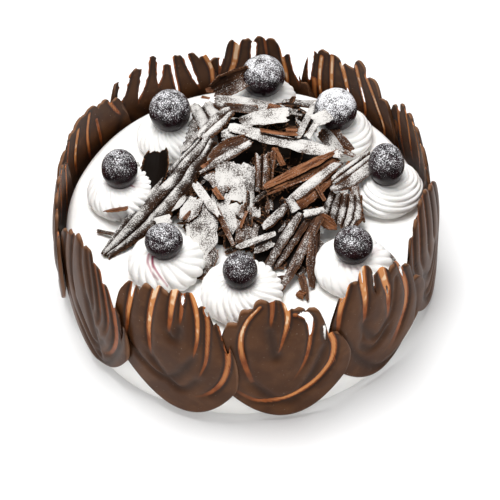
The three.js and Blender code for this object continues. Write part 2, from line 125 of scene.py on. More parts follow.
# Each fan, counterclockwise: ribs as (offset, height of the fingertip), the heights of the
# slits between them, of its two sides and its bottom, its lean inwards and its swing.
FAN_KEYS = ("ribs", "slits", "sides", "bottom", "lean", "swing")
FANS = [dict(zip(FAN_KEYS, row)) for row in [
    ([(-26, 84), (-15, 92), (-4, 97), (7, 97), (17, 91), (24, 84), (31, 73)],
     [79, 88, 93, 91, 84, 54], (66, 62), 8, 8, 5),
    ([(-21, 92), (-9, 95), (0, 98), (9, 99), (18, 99), (25, 93), (31, 83)],
     [66, 91, 93, 93, 90, 60], (70, 66), 5, 10, 6),
    ([(-27, 84), (-19, 94), (-10, 99), (-1, 98), (9, 91), (18, 88), (29, 66)],
     [83, 93, 97, 90, 87.5, 60], (68, 54), 3, 5, 0),
    ([(-29, 84), (-21, 92), (-13, 98), (-1, 90), (9, 87), (18, 78), (28, 61)],
     [83, 91, 86, 84, 77, 59], (68, 52), 6, 5, -3),
    ([(-28, 82), (-19, 89), (-9, 94), (1, 94), (10, 88), (18, 82), (28, 70)],
     [81, 88, 93, 87, 81, 69], (68, 60), 3, 8, 0),
    ([(-27, 76), (-16, 84), (-5, 89), (5, 91), (15, 89), (26, 78)], [68, 79, 84, 84, 72], (62, 66),
     3, 8, 0),
    ([(-27, 77), (-16, 88), (-6, 96), (4, 87), (12, 90), (21, 90), (29, 87)],
     [72, 78, 80, 82, 85, 58], (64, 68), 3, 4, 0),
    ([(-28, 60), (-20, 82), (-9, 94), (-1, 95), (7, 93), (16, 90), (25, 76)],
     [54, 68, 90, 80, 70, 70], (50, 62), 3, 4, 0),
    ([(-29, 83), (-20, 86), (-10, 88), (-3, 82), (4, 94), (15, 87), (30, 84)],
     [74, 58, 72, 70, 56, 58], (66, 64), 3, 3, 0),
    ([(-27, 78), (-17, 83), (-6, 87), (5, 87), (16, 82), (26, 72)], [76, 81, 85, 83, 75], (66, 60),
     3, 6, 0),
    ([(-27, 78), (-16, 86), (-5, 88), (6, 86), (17, 82), (27, 74)], [70, 80, 82, 78, 68], (64, 62),
     3, 10, 0),
]]


def furrow(path, first, last, amber=1, depth=1, gap=None):
    """A thin groove between a fan's ribs, along a path of (offset, height).

    It runs from its open end down into the palm, and `first` and `last` are its half widths
    there. `amber` is how far the chocolate thins out in it; `gap` opens it from one share of
    the path to another, by a half width.
    """
    return dict(path=path, width=(first, last), amber=amber, depth=depth, gap=gap)


RIM_GROOVE = furrow([(28, 62), (27, 43), (17, 27), (2, 18), (-12, 20), (-24, 31)], 1.5, 1.2, 0.8)
GROOVES = [
    [furrow([(1, 98), (2, 80), (6, 62)], 1.2, 0.6, 0.15, depth=0.6),
     furrow([(7, 98), (11, 80), (12, 62), (8, 51)], 1.2, 0.6, 0.2, depth=0.7),
     furrow([(12, 98), (17, 79), (17, 58), (11, 42)], 1.3, 0.7, 0.3, gap=(0.02, 0.12, 1.1)),
     furrow([(18, 95), (23, 76), (23, 56), (15, 36)], 1.3, 0.8, 0.4),
     furrow([(25, 90), (29, 70), (28, 48), (19, 29), (8, 21)], 1.8, 1.0, 0.5),
     furrow([(33.5, 78), (34, 62), (32, 48)], 1.0, 0.5, 0, gap=(0, 0.9, 0.9)),
     furrow([(-9, 98), (-12, 80), (-13, 60), (-8, 45)], 1.3, 0.7, 0.2),
     furrow([(-20, 92), (-25, 72), (-24, 50), (-14, 30)], 1.5, 0.9, 0.3)],
    [furrow([(-17, 99), (-21, 84), (-25, 68), (-28, 50)], 2.2, 0.9, gap=(0, 0.4, 1.1)),
     furrow([(-1, 102), (-7, 84), (-11, 64), (-12, 46)], 2.2, 0.7),
     furrow([(10, 102), (6, 88), (2.5, 70)], 2.3, 1.0),
     furrow([(14, 99), (12, 88), (9.5, 76)], 1.3, 0.7, 0.7, gap=(0.1, 0.42, 1.0)),
     furrow([(19, 100), (20.5, 86), (18.5, 70), (14, 55)], 1.6, 0.5),
     furrow([(26, 93), (26, 82), (23.5, 66), (20, 52), (13, 37)], 1.5, 0.5, 0.8,
            gap=(0.04, 0.18, 1.2)),
     furrow([(33, 81), (34, 68), (32.5, 54), (27, 39), (19, 28), (9, 22)], 1.6, 1.1, 0.8,
            gap=(0, 0.3, 1.4))],
    [furrow([(-10.6, 94.5), (-18, 84.5), (-22, 71), (-21.5, 54.5), (-17, 34.5)], 0.6, 1.9),
     furrow([(-4, 99), (-4.4, 90), (-6.2, 78)], 1.5, 0.7, 0.7),
     furrow([(2.4, 99), (3.6, 86.5), (1.8, 75), (-3, 58.5)], 2.0, 0.5),
     furrow([(7.5, 86), (13.5, 83.5), (15.4, 76), (14, 62), (11, 48.5), (3.4, 34)], 1.2, 0.7, 0.8,
            gap=(0.01, 0.52, 1.9)),
     furrow([(23, 72), (23, 59)], 1.2, 0.6, 0, gap=(0, 0.9, 0.8)),
     furrow([(25, 67), (27.5, 56), (25, 42), (16, 29), (3, 20), (-8, 17.5), (-18, 20), (-30, 33)],
            1.6, 1.6, 0.9)],
    [furrow([(-23, 98), (-26, 86), (-29, 74), (-31, 58)], 3.0, 1.2, gap=(0, 0.55, 0.6)),
     furrow([(-15, 100), (-14, 86), (-13, 72), (-14.5, 56)], 3.1, 1.0, gap=(0, 0.35, 0.6)),
     furrow([(-13.5, 58), (-15, 40)], 0.8, 0.6, 0, depth=0.5),
     furrow([(-7, 89), (-6, 73)], 0.6, 0.4, 0.3, gap=(0, 0.9, 0.45)),
     furrow([(-2, 92), (1, 78), (3.5, 66), (2.5, 48)], 2.9, 1.2, gap=(0.42, 0.68, 0.7)),
     furrow([(8, 76), (6.5, 58), (3, 42)], 0.8, 0.6, 0, depth=0.6),
     furrow([(9.5, 90), (14, 76), (18, 60), (18, 46), (13, 32), (4, 21)], 1.3, 2.4, 0.8,
            gap=(0.12, 0.28, 0.8)),
     furrow([(21, 74), (26, 54), (28, 36), (26, 20)], 0.5, 0.4, 0, depth=0.4)],
    [furrow([(-30, 96), (-34, 78), (-33, 56)], 1.2, 0.7, 0.3, depth=0.9),
     furrow([(-21, 98), (-26, 80), (-28, 62), (-24, 44)], 1.2, 0.7, 0.3),
     furrow([(-12, 99), (-17, 80), (-20, 62), (-17, 42)], 1.2, 0.7, 0.4),
     furrow([(-3, 98), (-7, 80), (-9, 62), (-8, 44)], 1.2, 0.7, 0.4),
     furrow([(6, 95), (4, 78), (2, 62), (2, 46)], 1.2, 0.7, 0.4),
     furrow([(15, 90), (17, 72), (15, 56), (10, 40)], 1.4, 0.7, 0.5),
     furrow([(24, 88), (29, 68), (28, 46), (19, 28), (6, 20)], 1.8, 1.0, 0.6, gap=(0, 0.35, 1.0))],
    [furrow([(-22, 86), (-27, 70), (-27, 48), (-18, 32)], 1.6, 0.8, 0.7),
     furrow([(-10, 90), (-14, 74), (-16, 56), (-11, 40)], 1.8, 0.8),
     furrow([(0, 94), (-1, 78), (-3, 60), (-2, 46)], 1.8, 0.7),
     furrow([(10, 93), (12, 76), (11, 58), (7, 42)], 1.8, 0.7, 0.9),
     furrow([(21, 86), (24, 70), (23, 52), (16, 34)], 1.6, 0.9, 0.8),
     RIM_GROOVE],
    [furrow([(-11, 86), (-19, 67), (-26, 50), (-22, 34)], 1.6, 1.0),
     furrow([(-3, 90), (-6, 73), (-9, 58), (-8, 44)], 1.5, 0.8, gap=(0.3, 0.62, 0.9)),
     furrow([(8, 84), (5.5, 70), (4, 56), (4, 42)], 1.8, 0.8, gap=(0.42, 0.7, 0.9)),
     furrow([(14.5, 88), (16, 70), (16, 54), (12, 38)], 1.4, 0.8),
     furrow([(22, 84), (24, 68), (24, 52), (19, 36)], 1.3, 0.9),
     furrow([(28, 92), (30, 76), (32, 54)], 1.8, 0.8, gap=(0, 0.92, 1.7)),
     RIM_GROOVE],
    [furrow([(-21, 90), (-22, 76), (-25, 54)], 2.2, 1.0, gap=(0, 0.9, 2.2)),
     furrow([(-14, 92), (-15, 78), (-17, 58), (-14, 40)], 1.4, 0.8),
     furrow([(-4, 96), (-5, 76), (-5, 56), (-4, 42)], 0.9, 0.6, 0.4),
     furrow([(2.5, 88), (3.5, 76), (4, 56)], 1.6, 0.8, gap=(0, 0.85, 1.6)),
     furrow([(12, 92), (15, 72), (19, 55), (15, 38)], 2.2, 1.0),
     furrow([(20.5, 92), (23, 74), (25, 58)], 1.4, 0.7, gap=(0, 0.7, 1.3)),
     RIM_GROOVE],
    [furrow([(-28, 84), (-32, 68), (-31, 48)], 1.8, 0.9),
     furrow([(-15, 92), (-18.5, 74), (-24, 53)], 1.8, 0.9, gap=(0, 0.92, 1.6)),
     furrow([(-7, 92), (-8, 74), (-10, 50), (-8, 38)], 2.0, 0.9, gap=(0, 0.6, 1.1)),
     furrow([(-1, 97), (0, 82), (2, 63)], 2.4, 1.0, gap=(0, 0.92, 2.5)),
     furrow([(8, 99), (10.5, 79), (16.5, 57)], 2.0, 0.9, gap=(0, 0.95, 2.6)),
     furrow([(21.5, 92), (25.5, 77), (29.5, 62)], 2.2, 1.0, gap=(0, 0.92, 3.5)),
     RIM_GROOVE],
    [furrow([(-21, 79), (-25, 70), (-30, 60)], 1.2, 0.8, 0.8, depth=0.7),
     furrow([(-10, 72), (-12, 58), (-13, 42)], 1.0, 0.8, 0.6, depth=0.7),
     furrow([(-3.5, 82), (-1, 64), (-2, 40)], 1.3, 1.0, 0.9),
     furrow([(8, 78), (12, 62), (13, 44)], 1.8, 1.0),
     furrow([(19, 78), (22, 60), (20, 42)], 1.3, 0.8, 0.6),
     RIM_GROOVE],
    [furrow([(-22, 86), (-27, 66), (-25, 44), (-15, 28)], 1.5, 0.8, 0.8),
     furrow([(-11, 90), (-15, 72), (-15, 52), (-9, 38)], 1.5, 0.8, 0.8),
     furrow([(1, 90), (1, 72), (0, 52)], 1.4, 0.7, 0.6),
     furrow([(12, 88), (15, 70), (14, 52), (9, 38)], 1.5, 0.8, 0.8),
     furrow([(23, 82), (27, 62), (25, 42), (15, 27)], 1.6, 0.9, 0.8)],
]

DEEP_SHADE = 0.12           # painted shade: the share of light left on the shavings low in the heap
NO_BED = -9                 # a level below the cream, where nothing lies


def chip(start, end, width, dust, tone=0.3, **more):
    """A shaving between two places (x, y, height above the cream).

    `dust` is its icing sugar and `tone` how reddish its chocolate is. `more` holds, where it
    needs them, the roll of its face, the bend of its cross-section, its pleats, the shares of
    the width left at its two ends and its `shade`, how far painted shade darkens it.
    """
    return dict(start=start, end=end, width=width, dust=dust, tone=tone, **more)


SHAVINGS = [
    chip((-82, -30, 3), (-18, 34, 30), 25, 0.75, 0.15, roll=-12, bend=120, pleats=3,
         ends=(0.3, 0.45)),
    chip((-24, 33, 28), (-4, 52, 32), 12, 1.1, pleats=2, ends=(0.6, 0.6)),
    chip((-37, 40, 10), (-23, 56, 19), 11, 0.75, roll=-10, ends=(0.6, 1)),
    chip((-22, 78, 14), (-14, 46, 22), 19, 1.3, roll=-8, pleats=2, ends=(0.8, 0.8)),
    chip((-15, 83, 17), (10, 79, 33), 15, 0.3, 0.5, roll=55, bend=-80, ends=(0.6, 0.8), shade=0.6),
    chip((-14, 72, 21), (21, 54, 28), 19, 1.05, roll=14, bend=160, ends=(0.6, 0.6)),
    chip((0, 46, 27), (30, 46, 29), 11, 1.2, roll=6, bend=-30, ends=(0.5, 0.9)),
    chip((-6, 37, 33), (59, 10, 31), 10, 1.15, 0.5, bend=50, ends=(0.8, 0.7)),
    chip((-11, 32, 29), (9, 33, 31), 11, 1.2, roll=25, bend=30, ends=(0.5, 0.8)),
    chip((-19, 16, 26), (7, 28, 30), 13, 0.5, 0.8, roll=24, bend=-120, ends=(0.4, 0.6), shade=0.7),
    chip((-25, 8, 24), (7, 24, 31), 5, 1.3, roll=30, bend=60, ends=(0.3, 0.8)),
    chip((-9, -29, 12), (-3, 12, 28), 24, 1.0, roll=4, bend=40, ends=(0.1, 1)),
    chip((-27, -44, 5), (-23, -8, 19), 19, 1.05, roll=-12, bend=30, ends=(0.15, 0.75)),
    chip((-35, -19, 14), (-26, -6, 20), 13, 1.2, roll=-20, ends=(0.5, 0.7)),
    chip((-28, 4, 22), (-14, -22, 19), 5, 1.2, 0.6, roll=20, ends=(0.8, 0.4)),
    chip((-16, -13, 19), (-7, -37, 10), 3.5, 0.4, 0.6, roll=40, ends=(0.8, 0.6)),
    chip((4, -13, 17.5), (-1, -35, 7), 13, 0.5, 0.5, roll=-10, ends=(0.8, 0.9)),
    chip((9, -28, 14), (25, -16, 21), 8, 0.75, bend=150, ends=(0.8, 0.8)),
    chip((-6, -37, 9), (17, -34, 16), 4, 0.95, 0.7, roll=20, ends=(0.7, 0.6)),
    chip((3, -40, 8), (16, -37, 12), 5, 1.1, roll=10, ends=(0.5, 0.8)),
    chip((8, -50, 3), (31, -23, 20), 8, 0.5, 0.25, roll=-20, bend=130, ends=(0.7, 0.7)),
    chip((14, -49, 2), (36, -25, 17), 6, 0.3, 0.3, bend=120, ends=(0.5, 0.8)),
    chip((16, -66, 3), (42, -25, 20), 8, 0.4, 0.45, roll=-14, bend=130, ends=(0.5, 0.9)),
    chip((35, -64, 2), (39, -34, 15), 9, 0.25, 0.3, roll=50, bend=60, ends=(0.5, 0.8)),
    chip((11, -8, 26), (57, 13, 31), 5, 0.1, 1, roll=20, ends=(0.7, 0.5)),
    chip((12, -8, 24.5), (58, 12, 29.5), 6, 0.05, 0.8, roll=30, ends=(0.7, 0.5)),
    chip((13, -9, 23), (57, 10, 28), 6, 0.15, 0.95, roll=25, ends=(0.6, 0.6)),
    chip((25, -4, 21), (55, 10, 26), 7, 0.1, 0.9, roll=30, ends=(0.4, 0.6)),
    chip((27, -14, 22), (56, 9, 27), 9, 1, 0.7, roll=8, bend=150, ends=(0.9, 0.8)),
    chip((30, -17, 18), (54, 5, 23), 8, 0.15, 0.85, roll=42, ends=(0.7, 0.8)),
    chip((25, -15, 26), (30, -24, 21), 6, 1.4, bend=90),
    chip((32, -25, 21), (46, -23, 22), 6, 1.4, bend=110),
    chip((51, -3, 23), (75, 15, 26), 9, 0.9, 0.5, bend=110, pleats=2, ends=(0.8, 0.8)),
    chip((50, -8, 20), (76, 8, 24), 10, 0.85, 0.5, roll=10, bend=90, ends=(0.5, 0.8)),
    chip((58, -9, 19), (52, -26, 7), 24, 0.75, 0.35, roll=14, pleats=5, fold=0.14,
         ends=(0.85, 0.75)),
    chip((63, -3, 19), (66, -22, 5), 5, 0.45, 0.9, bend=60),
    chip((41, -21, 14), (52, -26, 7), 8, 0.1, 0.8, roll=10, ends=(0.9, 0.2)),
    chip((33, 24, 31), (46, 63, 21), 4, 1.2),
    chip((38, 24, 30.5), (47, 40, 30.5), 4, 1.2),
    chip((42, 37, 31), (55, 41, 33), 8, 1.5, roll=20),
    chip((53, 44, 22), (65, 26, 15), 5, 0.3, 0.4, roll=40, bend=40),
    chip((49, 42, 21), (62, 29, 13), 15, 0.9, roll=-6, bend=40, ends=(0.8, 1)),
    chip((27, 71, 17), (47, 63, 20.5), 7, 0.7, bend=90),
    chip((12, 14, 32), (10, -2, 18), 9, 0.5, 0.6, roll=20, pleats=2),
    chip((18, 17, 31), (15, 2, 16), 6, 0.3, 0.7, roll=30),
    chip((33, 22, 26), (30, 17, 14), 9, 0.45, 0.4, roll=16),
    # Near-black with painted shade: the hollow under the long curl's rolled flap.
    chip((-48, 38, 14), (-51, 9, 12), 20, 0, 0.7, roll=14, bend=-110, ends=(0.7, 0.6),
         shade=DEEP_SHADE),
    chip((-43, -6, 10), (-32, 0, 15), 5, 1.4, roll=10, ends=(0.6, 0.5)),
    chip((-52, -16, 11), (-41, -15, 13), 6, 0.9, roll=20),
    chip((-18, -35, 9), (-22, -45, 3), 8, 0.35, 0.1, ends=(0.6, 0.8)),
    chip((-23, -38, 8), (-29, -50, 2), 10, 0.5, 0.1, roll=-10, ends=(0.9, 0.8)),
    chip((-81, -4, 10), (-66, -5, 13), 6, 0.05, 0.6, roll=-20, ends=(0.2, 0.7)),
    # These last ones lie low under the others, bare of sugar and near-black with painted shade; the
    # one from (16, 60) is a dark sheet for the shade of a gap at the back.
    chip((-20, 15, 16), (-54, -4, 4), 17, 0, roll=-26, shade=DEEP_SHADE),
    chip((4, 20, 15), (-4, 70, 7), 26, 0, roll=8, shade=DEEP_SHADE),
    chip((24, 24, 15), (27, 62, 5), 22, 0, shade=DEEP_SHADE),
    chip((32, 20, 15), (56, 33, 4), 20, 0, roll=-14, shade=DEEP_SHADE),
    chip((16, 60, 11), (43, 50, 17), 18, 0, shade=0.1),
    chip((12, -18, 15), (12, -46, 1), 18, 0, shade=DEEP_SHADE),
    chip((34, -14, 15), (30, -50, 1), 19, 0, shade=DEEP_SHADE),
]

# The slivers and crumbs of the heap that stand out, too small to be shavings of their own.
SLIVERS = [
    # The first is a dark sheet standing for the shade in the hollow of the curl above it.
    chip((-10, 62, 23), (12, 53, 27), 9, 0.3, 0.35, roll=-10, bend=-60, shade=0.5),
    chip((17, 56, 29), (25, 52, 29.5), 9, 0.15, 1, bend=220, shade=0.8),
    chip((11, 30, 34.6), (34, 24, 34.1), 2.6, 0.05, 1),
    chip((-61, 31, 14), (-59, 17, 8), 2.5, 0.7, 0.1),
    chip((-86, -10, 1.5), (-74, -16, 3), 2.5, 0.5, 0.1),
    chip((-32, -48, 1.5), (-24, -51, 2.5), 6, 0.35, 0.2),
    chip((30, -37, 8), (35, -42, 7), 6, 1.3),
    chip((35, -40, 7), (38, -46, 6), 5, 0.1, 1),
    chip((39, -36, 10), (44, -43, 5), 6, 0.8),
    chip((27, -51, 5), (31, -55, 3), 6, 0.8),
    chip((14, -55, 1.5), (21, -54, 1.5), 4, 0.05, 0.1, bend=120),
    chip((17, -46, 2), (21, -48, 2), 4, 0.05, 0.1),
    chip((75, -38, 3), (83, -54, 2), 7, 0.35, 0.2, roll=-14, ends=(0.2, 0.9)),
    chip((29, -55, 5), (32, -73, 1.5), 4, 0.15, 0.3, roll=20, ends=(0.9, 0.4)),
    chip((26, -66, 2.5), (31, -70, 3.5), 6, 0.1, 1, bend=160),
    chip((-22, 81, 15), (-16, 78, 16), 2, 0.05, 1),
    chip((-19, 89, 14), (-11, 85, 16), 4, 0.4, 1, bend=90),
    chip((-35, -19, 15), (-25, -9, 18), 2.5, 0.1, 0.4),
    chip((-21, 17, 24), (-12, 7, 22), 7, 0.1, 0.9),
    chip((-20, 9, 23), (-9, -7, 22), 6, 0.6, 0.5, roll=10),
    chip((26, 33, 31), (34, 32, 31), 6, 0.2, 0.9, bend=200),
    chip((-17, -1, 22), (-12, -11, 21), 3.5, 0.1, 0.8),
    chip((2, -17, 18.5), (-3, -27, 14), 2.2, 0.2, 0.8, roll=30),
    chip((19, 18, 32), (24, 8, 26), 3.5, 0.1, 0.9, roll=40),
    chip((40, -2, 24), (46, -14, 18), 2.5, 0.1, 0.5),
    chip((60, 10, 25), (66, 2, 21), 3, 0.1, 0.9),
    chip((59, 17, 27), (66, 13, 25), 4, 0.5, 0.9, bend=120),
    chip((4.6, -52, 1.5), (6.4, -52.4, 1.5), 1.5, 0.1, 0.3),
]

# The core of the heap, an oval mound painted near-black as the shade in its gaps, and the ring of
# plain shavings that run down it.
CORE = {"x": 6, "y": 3, "half_length": 47, "half_width": 38, "height": 16}
LOWER_RING = {"count": 7, "inner": 16, "outer": 46, "top": 17, "foot": 1, "width": 20}
# The splinters between them: ranges of their sizes and places, and the looks they choose from.
SCRAPS = {"seed": 7, "length": (6, 15), "lift": (0.5, 4.5), "lowest": 1.5, "width": (1.6, 4.6),
          "roll": (-50, 50), "bend": [0, 60, 120], "ends": (0.4, 0.9), "dust": [0.05, 0.2, 0.5],
          "tone": [0.1, 0.3, 0.6], "shade": (0.15, 0.55)}
# The two beds that splinters lie on: the core and the low shavings behind it.
SCRAP_BEDS = [
    dict(count=110, x=CORE["x"], y=CORE["y"], half_length=47, half_width=38, level=NO_BED),
    dict(count=34, x=26, y=57, half_length=19, half_width=13, level=16),
]

# ---- sizes of the looks

FAN_COLUMNS = 98
FAN_ROWS = 78
FAN_MEMBRANE = 0.4          # thickness at the bottom of a groove
RIB_SHOULDER = 5.0          # how far a rib takes to rise to its full thickness
FAN_RIM = 2.2               # the same at the outline of a fan
FAN_RIM_SHARE = 0.35        # share of the thickness left at the outline itself
GROOVE_SHADE_PLACE, GROOVE_SHADE_WIDTH = 0.7, 0.9     # of the painted shade along a groove, from the edge of the groove
PALM_SHADE = 0.85             # how dark the painted shade in the palm's valleys is, against that along a groove
PALM_VALLEY = 0.85          # share of the thickness lost where the grooves run on in the palm
PALM_VALLEY_WIDTH = 2.6
AMBER_RIM = 0.7             # width of the thin chocolate along the edges of a gap
GAP_RAGGED = 0.3            # unevenness of the edges of a gap
FAN_NOTCH = 3.5             # depth of a slit between two fingertips that stay joined
FAN_TIP_DROP = 0.8          # keeps the waves of the top edge within the fan's height
FAN_EDGE_STRETCH = 40       # length along the top edge that its waves are counted in
SHAVING_THICKNESS = 0.9
SHAVING_STEP = (1.0, 0.7)   # size of a shaving's cells along and across it
SHAVING_BOW = 0.02          # how far it may bow, as a share of its length
TEAR_REACH = 9              # how far the tears of its ends run into it
ABOVE_CREAM = 0.4           # how far the heap keeps off the cream
OFF_CHERRY = 0.5            # how far a shaving keeps off a cherry, where it is cut
INTO_ROSETTE = 0.8          # how far it may run into a rosette before it is cut
RAY_START = 0.6             # so far above a point its rays start, clear of its own shaving
ROSETTE_LOBE = 0.4          # depth of a rosette's lobes
SEAT_JUICE = 0.18           # how strongly juice stains the rim round a cherry
CORE_DROP = 4               # how much smaller the dark core is than the shavings round it
SUGAR_GRAIN = 0.62          # size of the grains of icing sugar
SUGAR_MOST = 0.95           # icing sugar where it lies thickest, its grains still show
# Tilts from upright of the rays that icing sugar falls along, and of those that set the painted
# shade.
SUGAR_FALL = [(0, 0), (0.35, 0), (-0.35, 0), (0, 0.35), (0, -0.35)]
WIDE_SKY = [(1.2, 0), (0.85, 0.85), (0, 1.2), (-0.85, 0.85), (-1.2, 0), (-0.85, -0.85), (0, -1.2),
            (0.85, -0.85)]

# Waves of the uneven surfaces, each as (height, distance between its bumps).
SPATULA_MARKS = [(1, 9), (0.5, 4)]
RIDGE_DRIFT = [(0.5, 13), (1.1, 8)]         # of a rosette's lobes and fine ridges, in radians
ROSETTE_SKIN = (0.25, 5)
CHERRY_LUMPS = [(0.014, 7), (0.006, 2.2)]   # in shares of the cherry's size
CREASE_DRIFT = (0.25, 9)
FAN_EDGE = [(0.9, 2.5), (0.7, 7)]
FAN_BUCKLE = (0.2, 14)
TORN_ENDS = [(2.4, 3), (1.2, 1.1)]
TORN_SIDES = [(0.5, 5), (0.3, 1.7)]
SHAVING_TWIST = (0.1, 25)                   # in radians
SHAVING_GRAIN = (0.2, 1.4)
CORE_LUMPS = [(0.05, 6), (0.04, 2.2)]       # in shares of the core's size

CAMERA = {"place": (1.78, -668.36, 781.54), "target": (1.78, 17.42, 0), "roll": -3.695,
          "lens": 122.52, "sensor": 36}
# Each lamp: its place and width in metres and its power in watts. All point at LIGHT_TARGET.
LIGHTS = {
    "top_back": ((-0.1, 0.15, 1.3), 0.8, 19),
    "front_left": ((-0.9, -1.2, 0.7), 0.6, 4),
    "front_right": ((1.1, -1.0, 0.7), 0.6, 5),
    "left": ((-1.2, 0.3, 0.6), 0.6, 2),
}
LIGHT_TARGET = (0, 0, 0.05)
SKY_STRENGTH = 0.43
FLOOR_HALF = 3              # metres

# ---- helpers


def mix(low, high, share):
    return low + (high - low) * share


def smoothstep(value, low, high):
    share = np.clip((value - low) / (high - low), 0, 1)
    return share * share * (3 - 2 * share)


def rounded(share):
    """A quarter circle from 0 at 0 to 1 at 1 and beyond."""
    return np.sqrt(1 - (1 - np.clip(share, 0, 1)) ** 2)


def lattice(x, y, z, seed):
    """A repeatable random value from -1 to 1 at each whole-numbered point."""
    mixed = (x * 73856093) ^ (y * 19349663) ^ (z * 83492791) ^ (seed * 2654435761)
    mixed = ((mixed ^ (mixed >> 13)) * 1274126177) & 0x7FFFFFFF
    return (mixed & 0xFFFF) / 32767.5 - 1


def noise(points, size, seed):
    """Smooth noise from -1 to 1 whose bumps are about `size` apart."""
    scaled = np.asarray(points, float) / size
    corner = np.floor(scaled).astype(np.int64)
    part = scaled - corner
    part = part * part * (3 - 2 * part)
    total = 0
    for step in np.ndindex(2, 2, 2):
        weight = np.prod(np.where(step, part, 1 - part), axis=-1)
        total = total + weight * lattice(*np.moveaxis(corner + step, -1, 0), seed)
    return total


def bumps(points, wave, seed):
    """Uneven relief for a wave given as (height, distance between its bumps)."""
    height, size = wave
    return height * noise(points, size, seed)


def around(radius, turn, height):
    """Points at a distance and an angle from the upright axis, at a height."""
    return np.stack(np.broadcast_arrays(radius * np.cos(turn), radius * np.sin(turn), height), -1)


def curve(points, count=28):
    """Points spaced along a smooth curve through the given ones."""
    points = np.asarray(points, float)
    if len(points) == 2:
        return mix(points[0], points[1], np.linspace(0, 1, count)[:, None])
    padded = np.vstack([2 * points[0] - points[1], points, 2 * points[-1] - points[-2]])
    place = np.linspace(0, len(points) - 1, count)
    start = np.minimum(place.astype(int), len(points) - 2)
    t = (place - start)[:, None]
    a, b, c, d = (padded[start + k] for k in range(4))
    return 0.5 * (2 * b + (c - a) * t + (2 * a - 5 * b + 4 * c - d) * t**2
                  + (3 * b - a - 3 * c + d) * t**3)


def cell_corners(grid):
    """The values of a grid at the four corners of each of its cells."""
    return grid[:-1, :-1], grid[:-1, 1:], grid[1:, 1:], grid[1:, :-1]


def on_both(values):
    """Values of a grid's points, once for the front and once for the back of a sheet."""
    return {key: np.tile(value.ravel(), 2) for key, value in values.items()}


def closed_sheet(front, back, keep):
    """Points and faces of a closed sheet between two grids of points, cut to the kept cells."""
    rows, columns = front.shape[:2]
    index = np.arange(rows * columns).reshape(rows, columns)
    a, b, c, d = cell_corners(index)
    under = rows * columns
    faces = [np.stack([a, b, c, d], -1)[keep], np.stack([d, c, b, a], -1)[keep] + under]
    padded = np.pad(keep, 1)
    sides = [
        (a, b, padded[:-2, 1:-1]),
        (b, c, padded[1:-1, 2:]),
        (c, d, padded[2:, 1:-1]),
        (d, a, padded[1:-1, :-2]),
    ]
    for first, second, neighbour in sides:
        edge = keep & ~neighbour
        p, q = first[edge], second[edge]
        faces.append(np.stack([q, p, p + under, q + under], -1))
    points = np.concatenate([front.reshape(-1, 3), back.reshape(-1, 3)])
    return points, np.concatenate(faces)


class Batch:
    """Gathers sheets and solids that become one mesh object."""

    def __init__(self):
        self.points, self.faces, self.values, self.count = [], [], [], 0

    def add(self, points, faces, **values):
        self.points.append(points)
        self.faces.append(faces + self.count)
        self.values.append({k: np.broadcast_to(v, len(points)) for k, v in values.items()})
        self.count += len(points)

    def arrays(self):
        values = {k: np.concatenate([v[k] for v in self.values]) for k in self.values[0]}
        return np.concatenate(self.points), np.concatenate(self.faces), values


def add_object(name, data):
    added = bpy.data.objects.new(name, data)
    bpy.context.scene.collection.objects.link(added)
    return added


def make_object(name, points, faces, material, sharp=None, **values):
    """A mesh object in metres from points in millimetres; `values` become attributes."""
    used, faces = np.unique(faces, return_inverse=True)
    faces = faces.reshape(-1, 4)
    mesh = bpy.data.meshes.new(name)
    corners = [tuple(dict.fromkeys(face)) for face in faces.tolist()]
    mesh.from_pydata((points[used] * MM).tolist(), [], [c for c in corners if len(c) > 2])
    for key, value in values.items():
        layer = mesh.attributes.new(key, "FLOAT", "POINT")
        layer.data.foreach_set("value", np.asarray(value, np.float32)[used])
    mesh.shade_smooth()
    if sharp:
        mesh.set_sharp_from_angle(angle=np.radians(sharp))
    mesh.materials.append(material)
    return add_object(name, mesh)


def finish_piece(piece, nodes):
    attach(piece, "root")
    if nodes:
        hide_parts(*nodes)


# ---- materials


